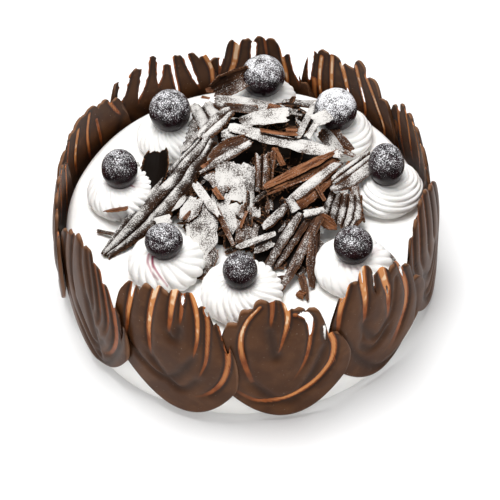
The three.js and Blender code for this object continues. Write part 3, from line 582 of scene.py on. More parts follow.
class Material:
    """A node material with a Principled shader and short calls to add nodes to it."""

    def __init__(self, name, **inputs):
        self.material = bpy.data.materials.new(name)
        self.material.use_nodes = True
        self.nodes = self.material.node_tree.nodes
        self.shader = self.nodes["Principled BSDF"]
        for key, value in inputs.items():
            self.shader.inputs[key.replace("_", " ")].default_value = value

    def link(self, output, target, key):
        self.material.node_tree.links.new(output, target.inputs[key])

    def set(self, key, output):
        self.link(output, self.shader, key)

    def add(self, kind, inputs=None, **settings):
        node = self.nodes.new("ShaderNode" + kind)
        for key, value in settings.items():
            setattr(node, key, value)
        for key, value in (inputs or {}).items():
            if isinstance(value, bpy.types.NodeSocket):
                self.link(value, node, key)
            else:
                node.inputs[key].default_value = value
        return node

    def attribute(self, name):
        return self.add("Attribute", attribute_name=name).outputs["Fac"]

    def noise(self, size, detail=2.0, roughness=0.5, vector=None):
        """Noise whose bumps are `size` millimetres apart, in object space unless told."""
        vector = vector or self.add("TexCoord").outputs["Object"]
        inputs = {"Vector": vector, "Scale": 1 / (size * MM), "Detail": detail,
                  "Roughness": roughness}
        return self.add("TexNoise", inputs).outputs["Fac"]

    def grain(self, shrink):
        """A place along and across a shaving, in metres, with its length shrunk."""
        along = self.times(self.attribute("along"), shrink * MM)
        side = self.times(self.attribute("side"), MM)
        return self.add("CombineXYZ", {"X": along, "Y": side}).outputs[0]

    def math(self, operation, a, b):
        return self.add("Math", {0: a, 1: b}, operation=operation).outputs[0]

    def times(self, a, b):
        return self.math("MULTIPLY", a, b)

    def plus(self, a, b):
        return self.math("ADD", a, b)

    def between(self, value, low, high, to_low=0.0, to_high=1.0):
        """Maps a value smoothly from one range to another, held at both ends."""
        inputs = {"Value": value, "From Min": low, "From Max": high, "To Min": to_low,
                  "To Max": to_high}
        return self.add("MapRange", inputs, interpolation_type="SMOOTHSTEP").outputs[0]

    def mix(self, factor, first, second):
        first, second = (colour if isinstance(colour, bpy.types.NodeSocket) else (*colour, 1)
                         for colour in (first, second))
        return self.add("Mix", {0: factor, 6: first, 7: second}, data_type="RGBA").outputs[2]

    def bump(self, height, strength, distance):
        """Relief of `distance` millimetres from a height between 0 and 1."""
        inputs = {"Height": height, "Strength": strength, "Distance": distance * MM}
        self.set("Normal", self.add("Bump", inputs).outputs[0])

    def facing_up(self):
        normal = self.add("NewGeometry").outputs["Normal"]
        return self.add("SeparateXYZ", {0: normal}).outputs["Z"]

    def sugar(self, level, size, patches, uneven, haze):
        """Where grains of icing sugar lie, for a level from 0 (none) to about 1 (thick)."""
        spread = self.between(level, 0, 0.5, 0, uneven)
        patch = self.times(self.math("SUBTRACT", self.noise(patches), 0.5), spread)
        lie = self.plus(patch, self.times(level, 0.3))
        grains = self.plus(self.noise(size, detail=1.5, roughness=0.6), lie)
        veil = self.between(lie, 0.02, 0.5, 0, haze)
        speck = self.times(self.between(grains, 0.66, 0.8), self.between(level, 0, 0.15))
        bare = self.math("SUBTRACT", 1.0, veil)
        return self.plus(veil, self.times(speck, bare))


def cream_material():
    m = Material("whipped_cream", Roughness=0.5, Subsurface_Weight=0.15, Subsurface_Scale=0.0015,
                 Specular_IOR_Level=0.3)
    m.shader.inputs["Subsurface Radius"].default_value = (1.0, 0.85, 0.7)
    white = m.mix(m.between(m.noise(14), 0.35, 0.65), (0.89, 0.88, 0.855), (0.93, 0.92, 0.90))
    m.set("Base Color", m.mix(m.attribute("juice"), white, (0.30, 0.03, 0.08)))
    m.bump(m.noise(2.2, detail=4), 0.3, 0.25)
    return m.material


def cherry_material():
    m = Material("dark_cherry", Specular_IOR_Level=0.22)
    skin = m.mix(m.between(m.noise(5), 0.35, 0.7), (0.008, 0.004, 0.005), (0.020, 0.007, 0.010))
    top = m.between(m.facing_up(), -0.1, 0.85)
    mask = m.sugar(m.times(top, m.attribute("dust")), SUGAR_GRAIN, 4.5, 0.4, 0.2)
    m.set("Base Color", m.mix(mask, skin, (0.78, 0.78, 0.80)))
    m.set("Roughness", m.plus(m.times(mask, 0.45), 0.26))
    m.bump(mask, 0.5, 0.2)
    return m.material


def fan_material():
    m = Material("dark_chocolate", IOR=1.42, Specular_IOR_Level=0.15)
    dark = m.mix(m.between(m.noise(16), 0.36, 0.66),
                 (0.056, 0.020, 0.0065), (0.084, 0.032, 0.011))
    dark = m.mix(m.between(m.noise(5, detail=3), 0.55, 0.75, 0, 0.35), dark, (0.125, 0.056, 0.022))
    specks = m.between(m.noise(1.1, detail=1), 0.74, 0.8, 0, 0.5)
    dark = m.mix(specks, dark, (0.36, 0.29, 0.23))
    # Painted highlight: a lighter reddish band along the outline of each fan.
    dark = m.mix(m.times(m.attribute("edge"), 0.55), dark, (0.26, 0.13, 0.07))
    # Painted shade: near-black along the sides of the grooves and in the palm's valleys.
    dark = m.mix(m.times(m.attribute("lip"), 0.8), dark, (0.020, 0.009, 0.005))
    thin = m.attribute("amber")
    deep = m.mix(m.between(m.noise(6), 0.3, 0.7), (0.20, 0.050, 0.012), (0.30, 0.085, 0.022))
    amber = m.mix(m.between(thin, 0.6, 1.0), deep, (0.62, 0.25, 0.08))
    # Painted highlights: pale streaks where the amber chocolate is thinnest.
    highlight_streaks = m.between(m.noise(7, detail=1), 0.46, 0.62, 0, 0.8)
    amber_highlight = m.times(m.between(thin, 0.9, 1.0), highlight_streaks)
    amber = m.mix(amber_highlight, amber, (0.92, 0.68, 0.44))
    m.set("Base Color", m.mix(m.between(thin, 0.14, 0.5), dark, amber))
    m.set("Roughness", m.between(thin, 0.2, 0.7, 0.4, 0.24))
    m.bump(m.noise(6, detail=3), 0.25, 0.3)
    return m.material


def shaving_material():
    m = Material("dusted_chocolate", IOR=1.4, Specular_IOR_Level=0.05)
    streak = m.noise(1.5, detail=3, roughness=0.65, vector=m.grain(0.1))
    brown = m.mix(m.between(streak, 0.38, 0.64), (0.018, 0.009, 0.006), (0.075, 0.037, 0.022))
    red = m.mix(m.between(streak, 0.4, 0.62), (0.075, 0.024, 0.009), (0.24, 0.10, 0.046))
    chocolate = m.mix(m.between(m.attribute("tone"), 0.0, 1.0), brown, red)
    # Painted shade: the chocolate turns near-black where the open value is low, in gaps, pleat
    # valleys and under other shavings.
    chocolate = m.mix(m.between(m.attribute("open"), 0.15, 0.95), (0.005, 0.003, 0.002), chocolate)
    ragged = m.times(m.attribute("rim"), m.between(m.noise(1.3), 0.4, 0.6))
    chocolate = m.mix(m.times(ragged, 0.7), chocolate, (0.30, 0.14, 0.07))
    up = m.between(m.facing_up(), 0.12, 0.88)
    fall = m.times(m.attribute("dust"), up)
    chocolate = m.mix(m.between(fall, 0.1, 0.7, 0, 0.75), chocolate, (0.030, 0.021, 0.017))
    swept = m.times(m.math("SUBTRACT", streak, 0.5), 0.9)
    mask = m.sugar(m.plus(fall, m.times(swept, fall)), SUGAR_GRAIN, 11, 0.8, 0.4)
    m.set("Base Color", m.mix(mask, chocolate, (0.60, 0.58, 0.555)))
    m.set("Roughness", m.plus(m.times(mask, 0.35), 0.5))
    m.bump(m.plus(streak, mask), 0.5, 0.3)
    return m.material


# Near-black crumbs: painted shade for the gaps between the shavings.
def core_material():
    m = Material("heap_shade", Roughness=0.8, Specular_IOR_Level=0.0)
    crumbs = m.noise(1.8, detail=4, roughness=0.7)
    dark, light = (0.006, 0.004, 0.003), (0.03, 0.016, 0.01)
    m.set("Base Color", m.mix(m.between(crumbs, 0.4, 0.7), dark, light))
    m.bump(crumbs, 0.6, 0.6)
    return m.material


# ---- cream drum


def cream_drum(material):
    shoulder = CREAM_HEIGHT - CREAM_EDGE_ROUNDING
    centre = CREAM_TOP_RADIUS - CREAM_EDGE_ROUNDING
    profile = [(0.01, 0), (CREAM_BASE_RADIUS - 1.5, 0), (CREAM_BASE_RADIUS, 1.5)]
    for share in np.linspace(0.05, 1, 14):
        profile.append((mix(CREAM_BASE_RADIUS, CREAM_TOP_RADIUS, share), share * shoulder))
    for turn in np.radians(np.linspace(10, 90, 9)):
        profile.append((centre + CREAM_EDGE_ROUNDING * np.cos(turn),
                        shoulder + CREAM_EDGE_ROUNDING * np.sin(turn)))
    for radius in np.linspace(centre - 3, 0.01, 40):
        profile.append((radius, CREAM_HEIGHT))
    radius, height = np.array(profile).T
    angle = np.linspace(0, 2 * np.pi, 241)[None, :]
    wave = np.sin(5 * angle + 0.06 * height[:, None]) + 0.5 * np.sin(11 * angle + 1)
    outer = (radius > centre)[:, None] * SPATULA_WAVE * (wave - 1.5) / 1.5
    reach = radius[:, None] + outer
    grid = around(reach, angle, height[:, None])
    stroked = grid * (0.35, 1, 0.6)
    marks = bumps(stroked, SPATULA_MARKS[0], 3) + bumps(grid, SPATULA_MARKS[1], 4)
    top = (height[:, None] > CREAM_HEIGHT - 0.1) * 0.25
    grid[..., 2] += top * (marks - 1.2)
    return grid_solid("cream_top_and_side", grid, material, juice=0)


def grid_solid(name, grid, material, **values):
    """A closed body of revolution from a grid of (profile step, turn) points."""
    rows, columns = grid.shape[:2]
    index = np.arange(rows * columns).reshape(rows, columns)
    index[:, -1] = index[:, 0]
    a, b, c, d = cell_corners(index)
    faces = np.stack([a, b, c, d], -1).reshape(-1, 4)
    values = {k: np.broadcast_to(v, (rows, columns)).ravel() for k, v in values.items()}
    return make_object(name, grid.reshape(-1, 3), faces, material, **values)


# ---- rosettes, cherries


def topping_centre(topping):
    angle = np.radians(topping["angle"])
    height = CREAM_HEIGHT + CHERRY_SEAT + CHERRY_SINK * topping["cherry"][2]
    return around(topping["distance"], angle, height)


def rosette_flank(radius):
    return [(0.87 * radius, 0), (radius, 4), (0.97 * radius, 8), (0.81 * radius, 12),
            (0.6 * radius, 15), (ROSETTE_LIP, ROSETTE_HEIGHT)]


def rosette_profile(topping):
    """Radius and height from the foot's middle, up the flank and down into the seat."""
    half = topping["cherry"]
    reach = max(half[0], half[1]) + 0.5
    depth = half[2] + 0.5
    middle = CHERRY_SEAT + CHERRY_SINK * half[2]
    seat = np.linspace(ROSETTE_LIP - 0.3, 0.02, 9)
    seat_height = np.minimum(middle - depth * np.sqrt(1 - (seat / reach) ** 2), ROSETTE_HEIGHT)
    return np.vstack([[0.02, 0], curve(rosette_flank(topping["rosette"]), 60),
                      np.stack([seat, seat_height], -1)])


def juice_share(number, x, y):
    """How strongly cherry juice stains each place of a rosette, seen from above."""
    share = np.zeros_like(x)
    for on, path, width, strength in JUICE:
        if on == number:
            distance, along, _ = nearest_on(curve(path), x, y)
            width = width * (1 - 0.4 * along)
            strength = strength * (1 - 0.35 * along)
            stain = strength * (1 - smoothstep(distance, 0.4 * width, 1.5 * width))
            share = np.maximum(share, stain)
    return share


def rosette(number, topping, material):
    profile = rosette_profile(topping)
    step = np.gradient(profile, axis=0)
    step /= np.linalg.norm(step, axis=1, keepdims=True)
    run = np.cumsum(np.linalg.norm(np.diff(profile, axis=0, prepend=profile[:1]), axis=1))
    turn, out = np.meshgrid(np.linspace(0, 2 * np.pi, 217), profile[:, 0])
    height = np.broadcast_to(profile[:, 1][:, None], turn.shape)
    place = around(out, turn, height)
    lobe = topping["ridges"] * (turn + np.radians(topping["twist"]) * height / ROSETTE_HEIGHT)
    lobe = lobe + bumps(place, RIDGE_DRIFT[0], number)
    fine = topping["starts"] * turn + 2 * np.pi * run[:, None] / topping["rise"]
    fine = fine + bumps(place, RIDGE_DRIFT[1], number + 30)
    fade = smoothstep(out, ROSETTE_LIP - 0.3, ROSETTE_LIP + 2.5) * smoothstep(height, 0, 2)
    uneven = mix(0.6, 1.3, 0.5 + 0.5 * noise(place, 10, number + 60))
    bulge = ROSETTE_LOBE * (2 * np.sqrt(np.abs(np.cos(lobe / 2))) - 1.3)
    bulge = bulge + topping["depth"] * uneven * (2 * np.sqrt(np.abs(np.cos(fine / 2))) - 1.2)
    bulge = (bulge + bumps(place, ROSETTE_SKIN, number + 90)) * fade
    reach = out + bulge * step[:, 1:]
    grid = around(reach, turn, np.maximum(height - bulge * step[:, :1], 0))
    centre = topping_centre(topping)
    grid = grid + (centre[0], centre[1], CREAM_HEIGHT + GAP)
    rim = SEAT_JUICE * smoothstep(-out, -ROSETTE_LIP - 1.3, -ROSETTE_LIP) * (height > 10)
    juice = np.maximum(rim, juice_share(number, grid[..., 0], grid[..., 1]) * (height > 2))
    piece = grid_solid(f"rosette_swirl_{number}", grid, material, juice=juice)
    finish_piece(piece, [f"rosette_{number}"])


def cherry(number, topping, material):
    half = np.array(topping["cherry"])
    rise, turn = np.meshgrid(np.linspace(-np.pi / 2, np.pi / 2, 55), np.linspace(0, 2 * np.pi, 81),
                             indexing="ij")
    unit = around(np.cos(rise), turn, np.sin(rise))
    skin = unit * 10
    lumps = 1 + bumps(skin, CHERRY_LUMPS[0], number) + bumps(skin, CHERRY_LUMPS[1], number + 20)
    axis = np.array([np.cos(number * 2.1), np.sin(number * 2.1), 0.35])
    across = unit @ axis + bumps(skin, CREASE_DRIFT, number + 40)
    crease = np.exp(-((across / 0.05) ** 2)) + 0.7 * np.exp(-(((across - 0.5) / 0.05) ** 2))
    pit = np.exp(-(((1 - unit[..., 2]) / 0.02) ** 2))
    scale = lumps - 0.035 * topping["creases"] * crease - 0.1 * pit
    grid = unit * half * scale[..., None]
    grid[:, -1] = grid[:, 0]
    grid[0] = grid[0].mean(0)
    grid[-1] = grid[-1].mean(0)
    piece = grid_solid(f"dark_cherry_{number}", grid + topping_centre(topping), material,
                       dust=topping["dust"])
    finish_piece(piece, [f"cherry_{number}"])


# ---- chocolate fans


def fan_half_width(share):
    reach = (1 - FAN_WIDEST_AT) / np.sqrt(1 - FAN_TOP_SHARE**2)
    return FAN_HALF_WIDTH * np.sqrt(1 - ((share - FAN_WIDEST_AT) / reach) ** 2)


def fan_top(shape, across):
    """The height of the scalloped top edge at each share of the half width."""
    top_width = FAN_HALF_WIDTH * FAN_TOP_SHARE
    tips = [(offset / top_width, height) for offset, height in shape["ribs"]]
    knots = [(-1, shape["sides"][0])]
    for (left, right, slit) in zip(tips, tips[1:], shape["slits"]):
        shallow = max(slit, min(left[1], right[1]) - FAN_NOTCH)
        knots += [left, ((left[0] + right[0]) / 2, shallow)]
    knots += [tips[-1], (1.02, shape["sides"][1])]
    top = np.zeros_like(across)
    for k in range(len(knots) - 1):
        (u0, h0), (u1, h1) = knots[k:k + 2]
        share = (across - u0) / (u1 - u0)
        inside = (share >= 0) & (share <= 1)
        to_slit = share if h0 > h1 else 1 - share
        low, high = min(h0, h1), max(h0, h1)
        dome = mix(low, high, np.sqrt(np.clip(1 - to_slit**2, 0, 1)))
        top = np.where(inside, dome, top)
    return top


def onto_side(angle, lean, x, z, depth):
    """Bends a fan's flat points round the side of the cake and leans its top inwards."""
    lap = FAN_LAP * (x + FAN_HALF_WIDTH) / (2 * FAN_HALF_WIDTH)
    rise = np.maximum(0, z - FAN_LEAN_START) / (FAN_TALLEST - FAN_LEAN_START)
    radius = FAN_INNER_RADIUS + lap - lean * rise**2 + depth
    turn = np.radians(angle) + x / FAN_INNER_RADIUS
    return around(radius, turn, z)


def nearest_on(path, x, z):
    """Distance from each point to a path, the share of the path there, and the place."""
    points = np.stack([x, z], -1)[..., None, :]
    step = path[1:] - path[:-1]
    share = np.clip(((points - path[:-1]) * step).sum(-1) / (step**2).sum(-1), 0, 1)
    places = path[:-1] + share[..., None] * step
    distance = np.linalg.norm(points - places, axis=-1)
    best = distance.argmin(-1)[..., None]
    along = (np.take_along_axis(share, best, -1)[..., 0] + best[..., 0]) / len(step)
    place = np.take_along_axis(places, best[..., None], -2)[..., 0, :]
    return np.take_along_axis(distance, best, -1)[..., 0], along, place


def gap_half(along, gap):
    """Half the width of a gap at each share of its groove, 0 beyond its ends."""
    start, end, width = gap
    middle = np.clip((along - start) / (end - start), 0, 1)
    open_top = 1.0 if start == 0 else smoothstep(middle, 0, 0.25)
    return width * open_top * np.sqrt(1 - middle**3) * (along >= start) * (along <= end)


def cut_gap(x, z, keep, distance, along, place, gap):
    """Drops the cells inside a gap and moves the points on its edge to a clean outline."""
    torn = noise(np.stack([along * 60, along * 0, place[..., 0]], -1), 4, 13)
    half = gap_half(along, gap) * (1 + GAP_RAGGED * torn)
    inside = distance < half
    removed = sum(corner.astype(int) for corner in cell_corners(inside)) >= 2
    keep &= ~removed
    touched = np.zeros_like(inside)
    for corner in cell_corners(touched):
        corner |= removed
    near = touched & (np.abs(distance - half) < 1.2) & (distance > 1e-6)
    away = (np.stack([x, z], -1) - place) / np.maximum(distance, 1e-6)[..., None]
    moved = place + away * half[..., None]
    return np.where(near, moved[..., 0], x), np.where(near, moved[..., 1], z)


def palm_valley(grooves, x, z):
    """The soft loops in which the grooves run on through the palm, 1 along their middle."""
    valley = np.zeros_like(x)
    ends = sorted((g["path"][-2:] for g in grooves if len(g["path"]) < 6), key=lambda pair: pair[1])
    for left, right in zip(ends[:len(ends) // 2], ends[::-1]):
        (x0, z0), (x1, z1) = left[1], right[1]
        low = ((x0 + x1) / 2, max(12, min(z0, z1) - 0.45 * (x1 - x0)))
        distance, along, _ = nearest_on(curve([*left, low, *right[::-1]]), x, z)
        strength = smoothstep(along, 0.12, 0.3) * (1 - smoothstep(along, 0.7, 0.88))
        valley = np.maximum(valley, strength * np.exp(-((distance / PALM_VALLEY_WIDTH) ** 2)))
    return valley


def fan(index, material):
    shape = FANS[index]
    across = np.linspace(-1, 1.01, FAN_COLUMNS + 1)[None, :]
    share = np.linspace(0, 1, FAN_ROWS + 1)[:, None]
    bottom = shape["bottom"] + FAN_ROUND_BOTTOM * across**2
    place = np.stack([across * FAN_EDGE_STRETCH, across * 0, across * 0 + index], -1)
    top = fan_top(shape, across) + bumps(place, FAN_EDGE[0], 11) + bumps(place, FAN_EDGE[1], 12)
    top = top - FAN_TIP_DROP
    z = mix(bottom, top, share)
    x = across * fan_half_width(share)
    edge = np.minimum(FAN_HALF_WIDTH * (1.005 - np.abs(across)), np.minimum(z - bottom, top - z))
    thickness = mix(FAN_RIM_SHARE, 1, rounded(edge / FAN_RIM))
    amber, lip = np.zeros_like(x), np.zeros_like(x)
    valley = palm_valley(GROOVES[index], x, z)
    keep = np.ones((FAN_ROWS, FAN_COLUMNS), bool)
    for groove in GROOVES[index]:
        path = curve(groove["path"])
        distance, along, place = nearest_on(path, x, z)
        half = mix(*groove["width"], along)
        if groove["gap"]:
            opening = gap_half(along, groove["gap"])
            half = np.maximum(half, opening + AMBER_RIM * np.minimum(1, 2 * opening))
        strength = groove["depth"] * (1 - smoothstep(along, 0.72, 1))
        rib = rounded((distance - half) / RIB_SHOULDER)
        thickness = thickness * (1 - strength * (1 - rib))
        thin = groove["amber"] * (1 - smoothstep(along, 0.55, 1) * 0.75)
        thin = thin * (1 - smoothstep(distance, half * 0.6, half + 0.5)) * (along < 0.995)
        amber = np.maximum(amber, thin)
        # Painted shade: a dark band along each side of the groove, where the rib turns down into
        # it.
        side = np.exp(-(((distance - half - GROOVE_SHADE_PLACE) / GROOVE_SHADE_WIDTH) ** 2))
        side = side * (1 - smoothstep(along, 0.6, 1))
        lip = np.maximum(lip, side * groove["depth"])
        if groove["gap"]:
            x, z = cut_gap(x, z, keep, distance, along, place, groove["gap"])
    thickness = thickness * (1 - PALM_VALLEY * valley)
    # Painted shade in the palm's valleys as well.
    lip = np.maximum(lip, PALM_SHADE * valley)
    thickness = FAN_MEMBRANE + (FAN_THICKNESS - FAN_MEMBRANE) * thickness
    x = x + shape["swing"] * (1 - 2 * z / FAN_TALLEST)
    angle = FAN_FIRST_ANGLE + index * 360 / FAN_COUNT
    buckle = bumps(np.stack([x, z, x * 0 + 50 * index], -1), FAN_BUCKLE, 5) - FAN_BUCKLE[0]
    back = onto_side(angle, shape["lean"], x, z, buckle)
    front = onto_side(angle, shape["lean"], x, z, buckle + thickness)
    points, faces = closed_sheet(front, back, keep)
    # The outline's value (edge) is a painted highlight; the dark bands along the grooves are
    # painted shade.
    values = {"amber": amber, "edge": 1 - smoothstep(edge, 0.2, 0.9), "lip": lip}
    piece = make_object(f"fan_shell_{index + 1}", points, faces, material, sharp=50,
                        **on_both(values))
    finish_piece(piece, [f"chocolate_fan_{index + 1}"])


# ---- shavings heap


def in_topping(points):
    """True where a point lies in a cherry, or deeper than its skin in a rosette."""
    inside = np.zeros(points.shape[:-1], bool)
    for topping in TOPPINGS:
        centre = topping_centre(topping)
        away = points - centre
        inside |= np.linalg.norm(away / (np.array(topping["cherry"]) + OFF_CHERRY), axis=-1) < 1
        radius, height = np.array(rosette_flank(topping["rosette"])[1:]).T
        level = points[..., 2] - CREAM_HEIGHT
        limit = np.where(level < ROSETTE_HEIGHT, np.interp(level, height, radius) - INTO_ROSETTE, 0)
        inside |= np.linalg.norm(away[..., :2], axis=-1) < limit
    return inside


def frame_of(start, end, roll, twist):
    """Unit vectors across a shaving and out of its face, for each share of its length."""
    along = (end - start) / np.linalg.norm(end - start)
    upward = np.array([0, 0, 1]) - along * along[2]
    upward /= np.linalg.norm(upward)
    turn = (np.radians(roll) + twist)[..., None]
    up = upward * np.cos(turn) + np.cross(along, upward) * np.sin(turn)
    return np.cross(up, along), up


def shaving(batch, number, start, end, width, dust, tone, roll=0, bend=0, pleats=0,
            fold=PLEAT_DEPTH, ends=1, shade=1):
    """Adds one thin curl or flake of chocolate, with torn ends and sides, to the batch."""
    start = np.array(start, float) + (0, 0, CREAM_HEIGHT)
    end = np.array(end, float) + (0, 0, CREAM_HEIGHT)
    length = np.linalg.norm(end - start)
    columns = max(6, int(length / SHAVING_STEP[0]))
    rows = max(3, int(width / SHAVING_STEP[1]), 8 * pleats)
    u, v = np.meshgrid(np.linspace(0, 1, columns + 1), np.linspace(0, 1, rows + 1))
    flat = np.stack([u * length, v * width, u * 0 + 31 * number], -1)
    end_line, side_line = flat * (0, 1, 1), flat * (1, 0, 1)
    torn = [np.abs(bumps(end_line, TORN_ENDS[0], seed) + bumps(end_line, TORN_ENDS[1], seed + 1))
            for seed in (1, 6)]
    reach = min(TEAR_REACH, length / 2)
    from_ends = [np.clip(1 - u * length / reach, 0, 1), np.clip(1 - (1 - u) * length / reach, 0, 1)]
    most = 0.09 * length + 0.4
    place = u + (np.minimum(torn[0], most) * from_ends[0]
                 - np.minimum(torn[1], most) * from_ends[1]) / length
    first, last = np.broadcast_to(ends, 2)
    taper = np.minimum(1, 1.5 - 1.5 * np.abs(2 * u - 1))
    half = width / 2 * mix(np.where(u < 0.5, first, last), 1, taper)
    ragged = bumps(side_line, TORN_SIDES[0], 3) + bumps(side_line, TORN_SIDES[1], 4)
    half = half + ragged * min(1, width / 8) * np.abs(2 * v - 1)
    across, up = frame_of(start, end, roll, bumps(side_line, SHAVING_TWIST, 9))
    arc = np.radians(bend if abs(bend) > 10 else 1)
    sweep = (v - 0.5) * arc
    radius = 2 * half / arc
    valley = 1 - np.abs(np.sin(np.pi * pleats * v)) ** 0.75 if pleats else v * 0
    relief = bumps(flat * (0.5, 1, 1), (0.2 + 0.035 * width, 6), 5)
    relief = relief + bumps(flat * (0.12, 1, 1), SHAVING_GRAIN, 8)
    bow = SHAVING_BOW * length * np.sin(np.pi * u) * lattice(number, 3, 1, 2)
    edge = np.minimum(np.minimum(u, 1 - u) * length, np.minimum(v, 1 - v) * width)
    thin = mix(0.4, 1, smoothstep(edge, 0, 1.2))
    grids = []
    for lift in (0.5, -0.5):
        out = radius + lift * SHAVING_THICKNESS * thin
        side = out * np.sin(sweep)
        height = out * np.cos(sweep) - radius - valley * fold * half + relief + bow
        grids.append(start + (end - start) * place[..., None]
                     + across * side[..., None] + up * height[..., None])
    hidden = in_topping((grids[0] + grids[1]) / 2)
    keep = ~np.logical_and.reduce(cell_corners(hidden))
    points, faces = closed_sheet(grids[0], grids[1], keep)
    points[:, 2] = np.maximum(points[:, 2], CREAM_HEIGHT + ABOVE_CREAM)
    values = {
        "dust": dust * np.clip(1.15 - 1.3 * valley, 0, 1),
        "tone": np.broadcast_to(tone, u.shape),
        # open is painted shade: darker in the pleat valleys, scaled by shade.
        "open": shade * (1 - 0.75 * valley),
        "rim": 1 - smoothstep(edge, 0.2, 1.0),
        "along": u * length + 37 * number,
        "side": v * width + 13 * number,
    }
    batch.add(points, faces[:, ::-1], **on_both(values))


def core_height(x, y):
    """Height of the core's mound above the cream, negative outside it."""
    share = ((x - CORE["x"]) / CORE["half_length"]) ** 2
    share = share + ((y - CORE["y"]) / CORE["half_width"]) ** 2
    return CORE["height"] * np.sqrt(np.maximum(0, 1 - share)) + NO_BED * (share > 1)


def lower_shavings():
    """The ring of shavings that run down from the middle of the heap to the cream."""
    ring = LOWER_RING
    for index in range(ring["count"]):
        angle = 2 * np.pi * index / ring["count"]
        ends = []
        for radius, height in ((ring["inner"], ring["top"]), (ring["outer"], ring["foot"])):
            narrow = radius * CORE["half_width"] / CORE["half_length"]
            x, y = CORE["x"] + radius * np.cos(angle), CORE["y"] + narrow * np.sin(angle)
            ends.append((x, y, height))
        # Bare of sugar and near-black with painted shade.
        yield chip(*ends, ring["width"], 0, roll=-22 if index % 2 else 16, shade=DEEP_SHADE)


def scraps():
    """Splinters of chocolate that fill the gaps of the heap, in a repeatable random order."""
    random = np.random.default_rng(SCRAPS["seed"])
    for bed in [bed for bed in SCRAP_BEDS for _ in range(bed["count"])]:
        angle, out = random.uniform(0, 2 * np.pi), np.sqrt(random.uniform(0, 1))
        x = bed["x"] + bed["half_length"] * out * np.cos(angle)
        y = bed["y"] + bed["half_width"] * out * np.sin(angle)
        turn = random.uniform(0, 2 * np.pi)
        length = random.uniform(*SCRAPS["length"])
        ends = []
        for side in (-0.5, 0.5):
            ex, ey = x + side * length * np.cos(turn), y + side * length * np.sin(turn)
            level = max(core_height(ex, ey), bed["level"]) + random.uniform(*SCRAPS["lift"])
            ends.append((ex, ey, float(max(SCRAPS["lowest"], level))))
        yield dict(start=ends[0], end=ends[1], width=random.uniform(*SCRAPS["width"]),
                   roll=random.uniform(*SCRAPS["roll"]), bend=random.choice(SCRAPS["bend"]),
                   ends=random.uniform(*SCRAPS["ends"], 2), dust=random.choice(SCRAPS["dust"]),
                   tone=random.choice(SCRAPS["tone"]), shade=random.uniform(*SCRAPS["shade"]))


def sky_share(points, tree, tilts):
    """The share of rays, tilted from upright, that leave each point for the open sky."""
    rays = [Vector((x, y, 1)).normalized() for x, y in tilts]
    share = np.zeros(len(points))
    for k, point in enumerate(points.tolist()):
        origin = Vector(point) + Vector((0, 0, RAY_START))
        share[k] = sum(tree.ray_cast(origin, ray)[0] is None for ray in rays) / len(rays)
    return share


def shavings(material):
    large, small = Batch(), Batch()
    for number, spec in enumerate([*SHAVINGS, *lower_shavings()]):
        shaving(large, number, **spec)
    for number, spec in enumerate([*SLIVERS, *scraps()], 100):
        shaving(small, number, **spec)
    both = Batch()
    for batch in (large, small):
        both.add(*batch.arrays()[:2])
    points, faces, _ = both.arrays()
    tree = BVHTree.FromPolygons(points.tolist(), faces.tolist())
    for name, batch in (("chocolate_shavings", large), ("chocolate_slivers", small)):
        points, faces, values = batch.arrays()
        above = sky_share(points, tree, SUGAR_FALL)
        # Painted shade: open falls further where few rays leave for the open sky.
        values["open"] = values["open"] * (above + sky_share(points, tree, WIDE_SKY)) / 2
        values["dust"] = np.minimum(values["dust"] * above, SUGAR_MOST)
        piece = make_object(name, points, faces, material, sharp=55, **values)
        finish_piece(piece, ["shavings_heap"] if batch is large else [])


def heap_core(material):
    """The mound of small scraps that the shavings lie on, near-black as painted shade in the heap's
    gaps.
    """
    rise = np.linspace(0, np.pi / 2, 30)
    turn, lift = np.meshgrid(np.linspace(0, 2 * np.pi, 97), rise)
    size = np.array([CORE["half_length"], CORE["half_width"], CORE["height"]]) - CORE_DROP
    grid = around(np.cos(lift), turn, np.sin(lift)) * size
    lumps = 1 + bumps(grid, CORE_LUMPS[0], 9) + bumps(grid, CORE_LUMPS[1], 10)
    grid = grid * lumps[..., None]
    grid[:, -1] = grid[:, 0]
    grid[-1] = grid[-1].mean(0)
    grid[..., 2] = np.maximum(grid[..., 2], ABOVE_CREAM)
    grid += (CORE["x"], CORE["y"], CREAM_HEIGHT)
    floor = np.broadcast_to(grid[0].mean(0), grid[0].shape)[None]
    grid = np.concatenate([floor, grid])
    finish_piece(grid_solid("heap_core", grid, material), [])


# ---- camera and stage


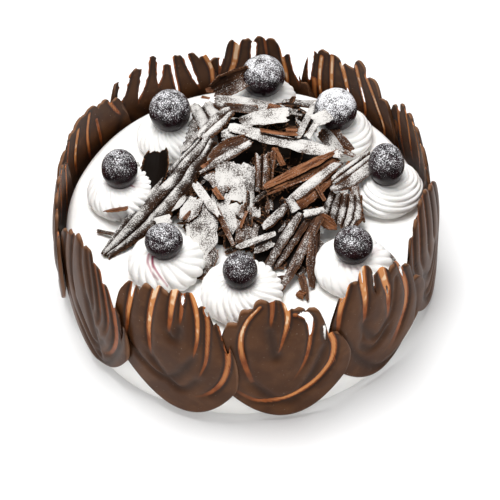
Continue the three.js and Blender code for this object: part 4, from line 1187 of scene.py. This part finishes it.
def add_camera():
    place, target = Vector(CAMERA["place"]) * MM, Vector(CAMERA["target"]) * MM
    forward = (target - place).normalized()
    level = forward.cross(Vector((0, 0, 1))).normalized()
    upright = level.cross(forward)
    roll = np.radians(CAMERA["roll"])
    right = level * np.cos(roll) + upright * np.sin(roll)
    up = upright * np.cos(roll) - level * np.sin(roll)
    data = bpy.data.cameras.new("camera")
    data.lens = CAMERA["lens"]
    data.sensor_width = CAMERA["sensor"]
    data.clip_end = 10
    camera = add_object("camera", data)
    rotation = Matrix((right, up, -forward)).transposed().to_4x4()
    camera.matrix_world = Matrix.Translation(place) @ rotation
    bpy.context.scene.camera = camera


def add_light(name, place, size, power):
    data = bpy.data.lights.new(name, "AREA")
    data.shape = "DISK"
    data.size = size
    data.energy = power
    light = add_object(name, data)
    light.location = place
    direction = Vector(LIGHT_TARGET) - Vector(place)
    light.rotation_euler = direction.to_track_quat("-Z", "Y").to_euler()


def add_stage():
    mesh = bpy.data.meshes.new("floor")
    corners = [(x * FLOOR_HALF, y * FLOOR_HALF, 0) for x, y in ((-1, -1), (1, -1), (1, 1), (-1, 1))]
    mesh.from_pydata(corners, [], [(0, 1, 2, 3)])
    floor = add_object("floor", mesh)
    paper = Material("pale_floor", Roughness=0.9, Specular_IOR_Level=0.1)
    tint = paper.mix(paper.noise(300), (0.86, 0.86, 0.86), (0.88, 0.88, 0.88))
    paper.set("Base Color", tint)
    mesh.materials.append(paper.material)
    floor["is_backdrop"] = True
    for name, (place, size, power) in LIGHTS.items():
        add_light(name, place, size, power)
    world = bpy.data.worlds.new("studio")
    world.use_nodes = True
    sky = world.node_tree.nodes["Background"].inputs
    sky["Color"].default_value = (1, 1, 1, 1)
    sky["Strength"].default_value = SKY_STRENGTH
    bpy.context.scene.world = world
    bpy.context.scene.view_settings.view_transform = "Standard"


# ---- the cake


def main():
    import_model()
    cad_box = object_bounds()
    add_camera()
    cream = cream_material()
    finish_piece(cream_drum(cream), ["cream_drum"])
    cherry_skin = cherry_material()
    for number, topping in enumerate(TOPPINGS, 1):
        rosette(number, topping, cream)
        cherry(number, topping, cherry_skin)
    chocolate = fan_material()
    for index in range(FAN_COUNT):
        fan(index, chocolate)
    heap_core(core_material())
    shavings(shaving_material())
    add_stage()
    boxes = {"cad": cad_box, "visual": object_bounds()}
    {key: [list(corner) for corner in box] for key, box in boxes.items()}


main()
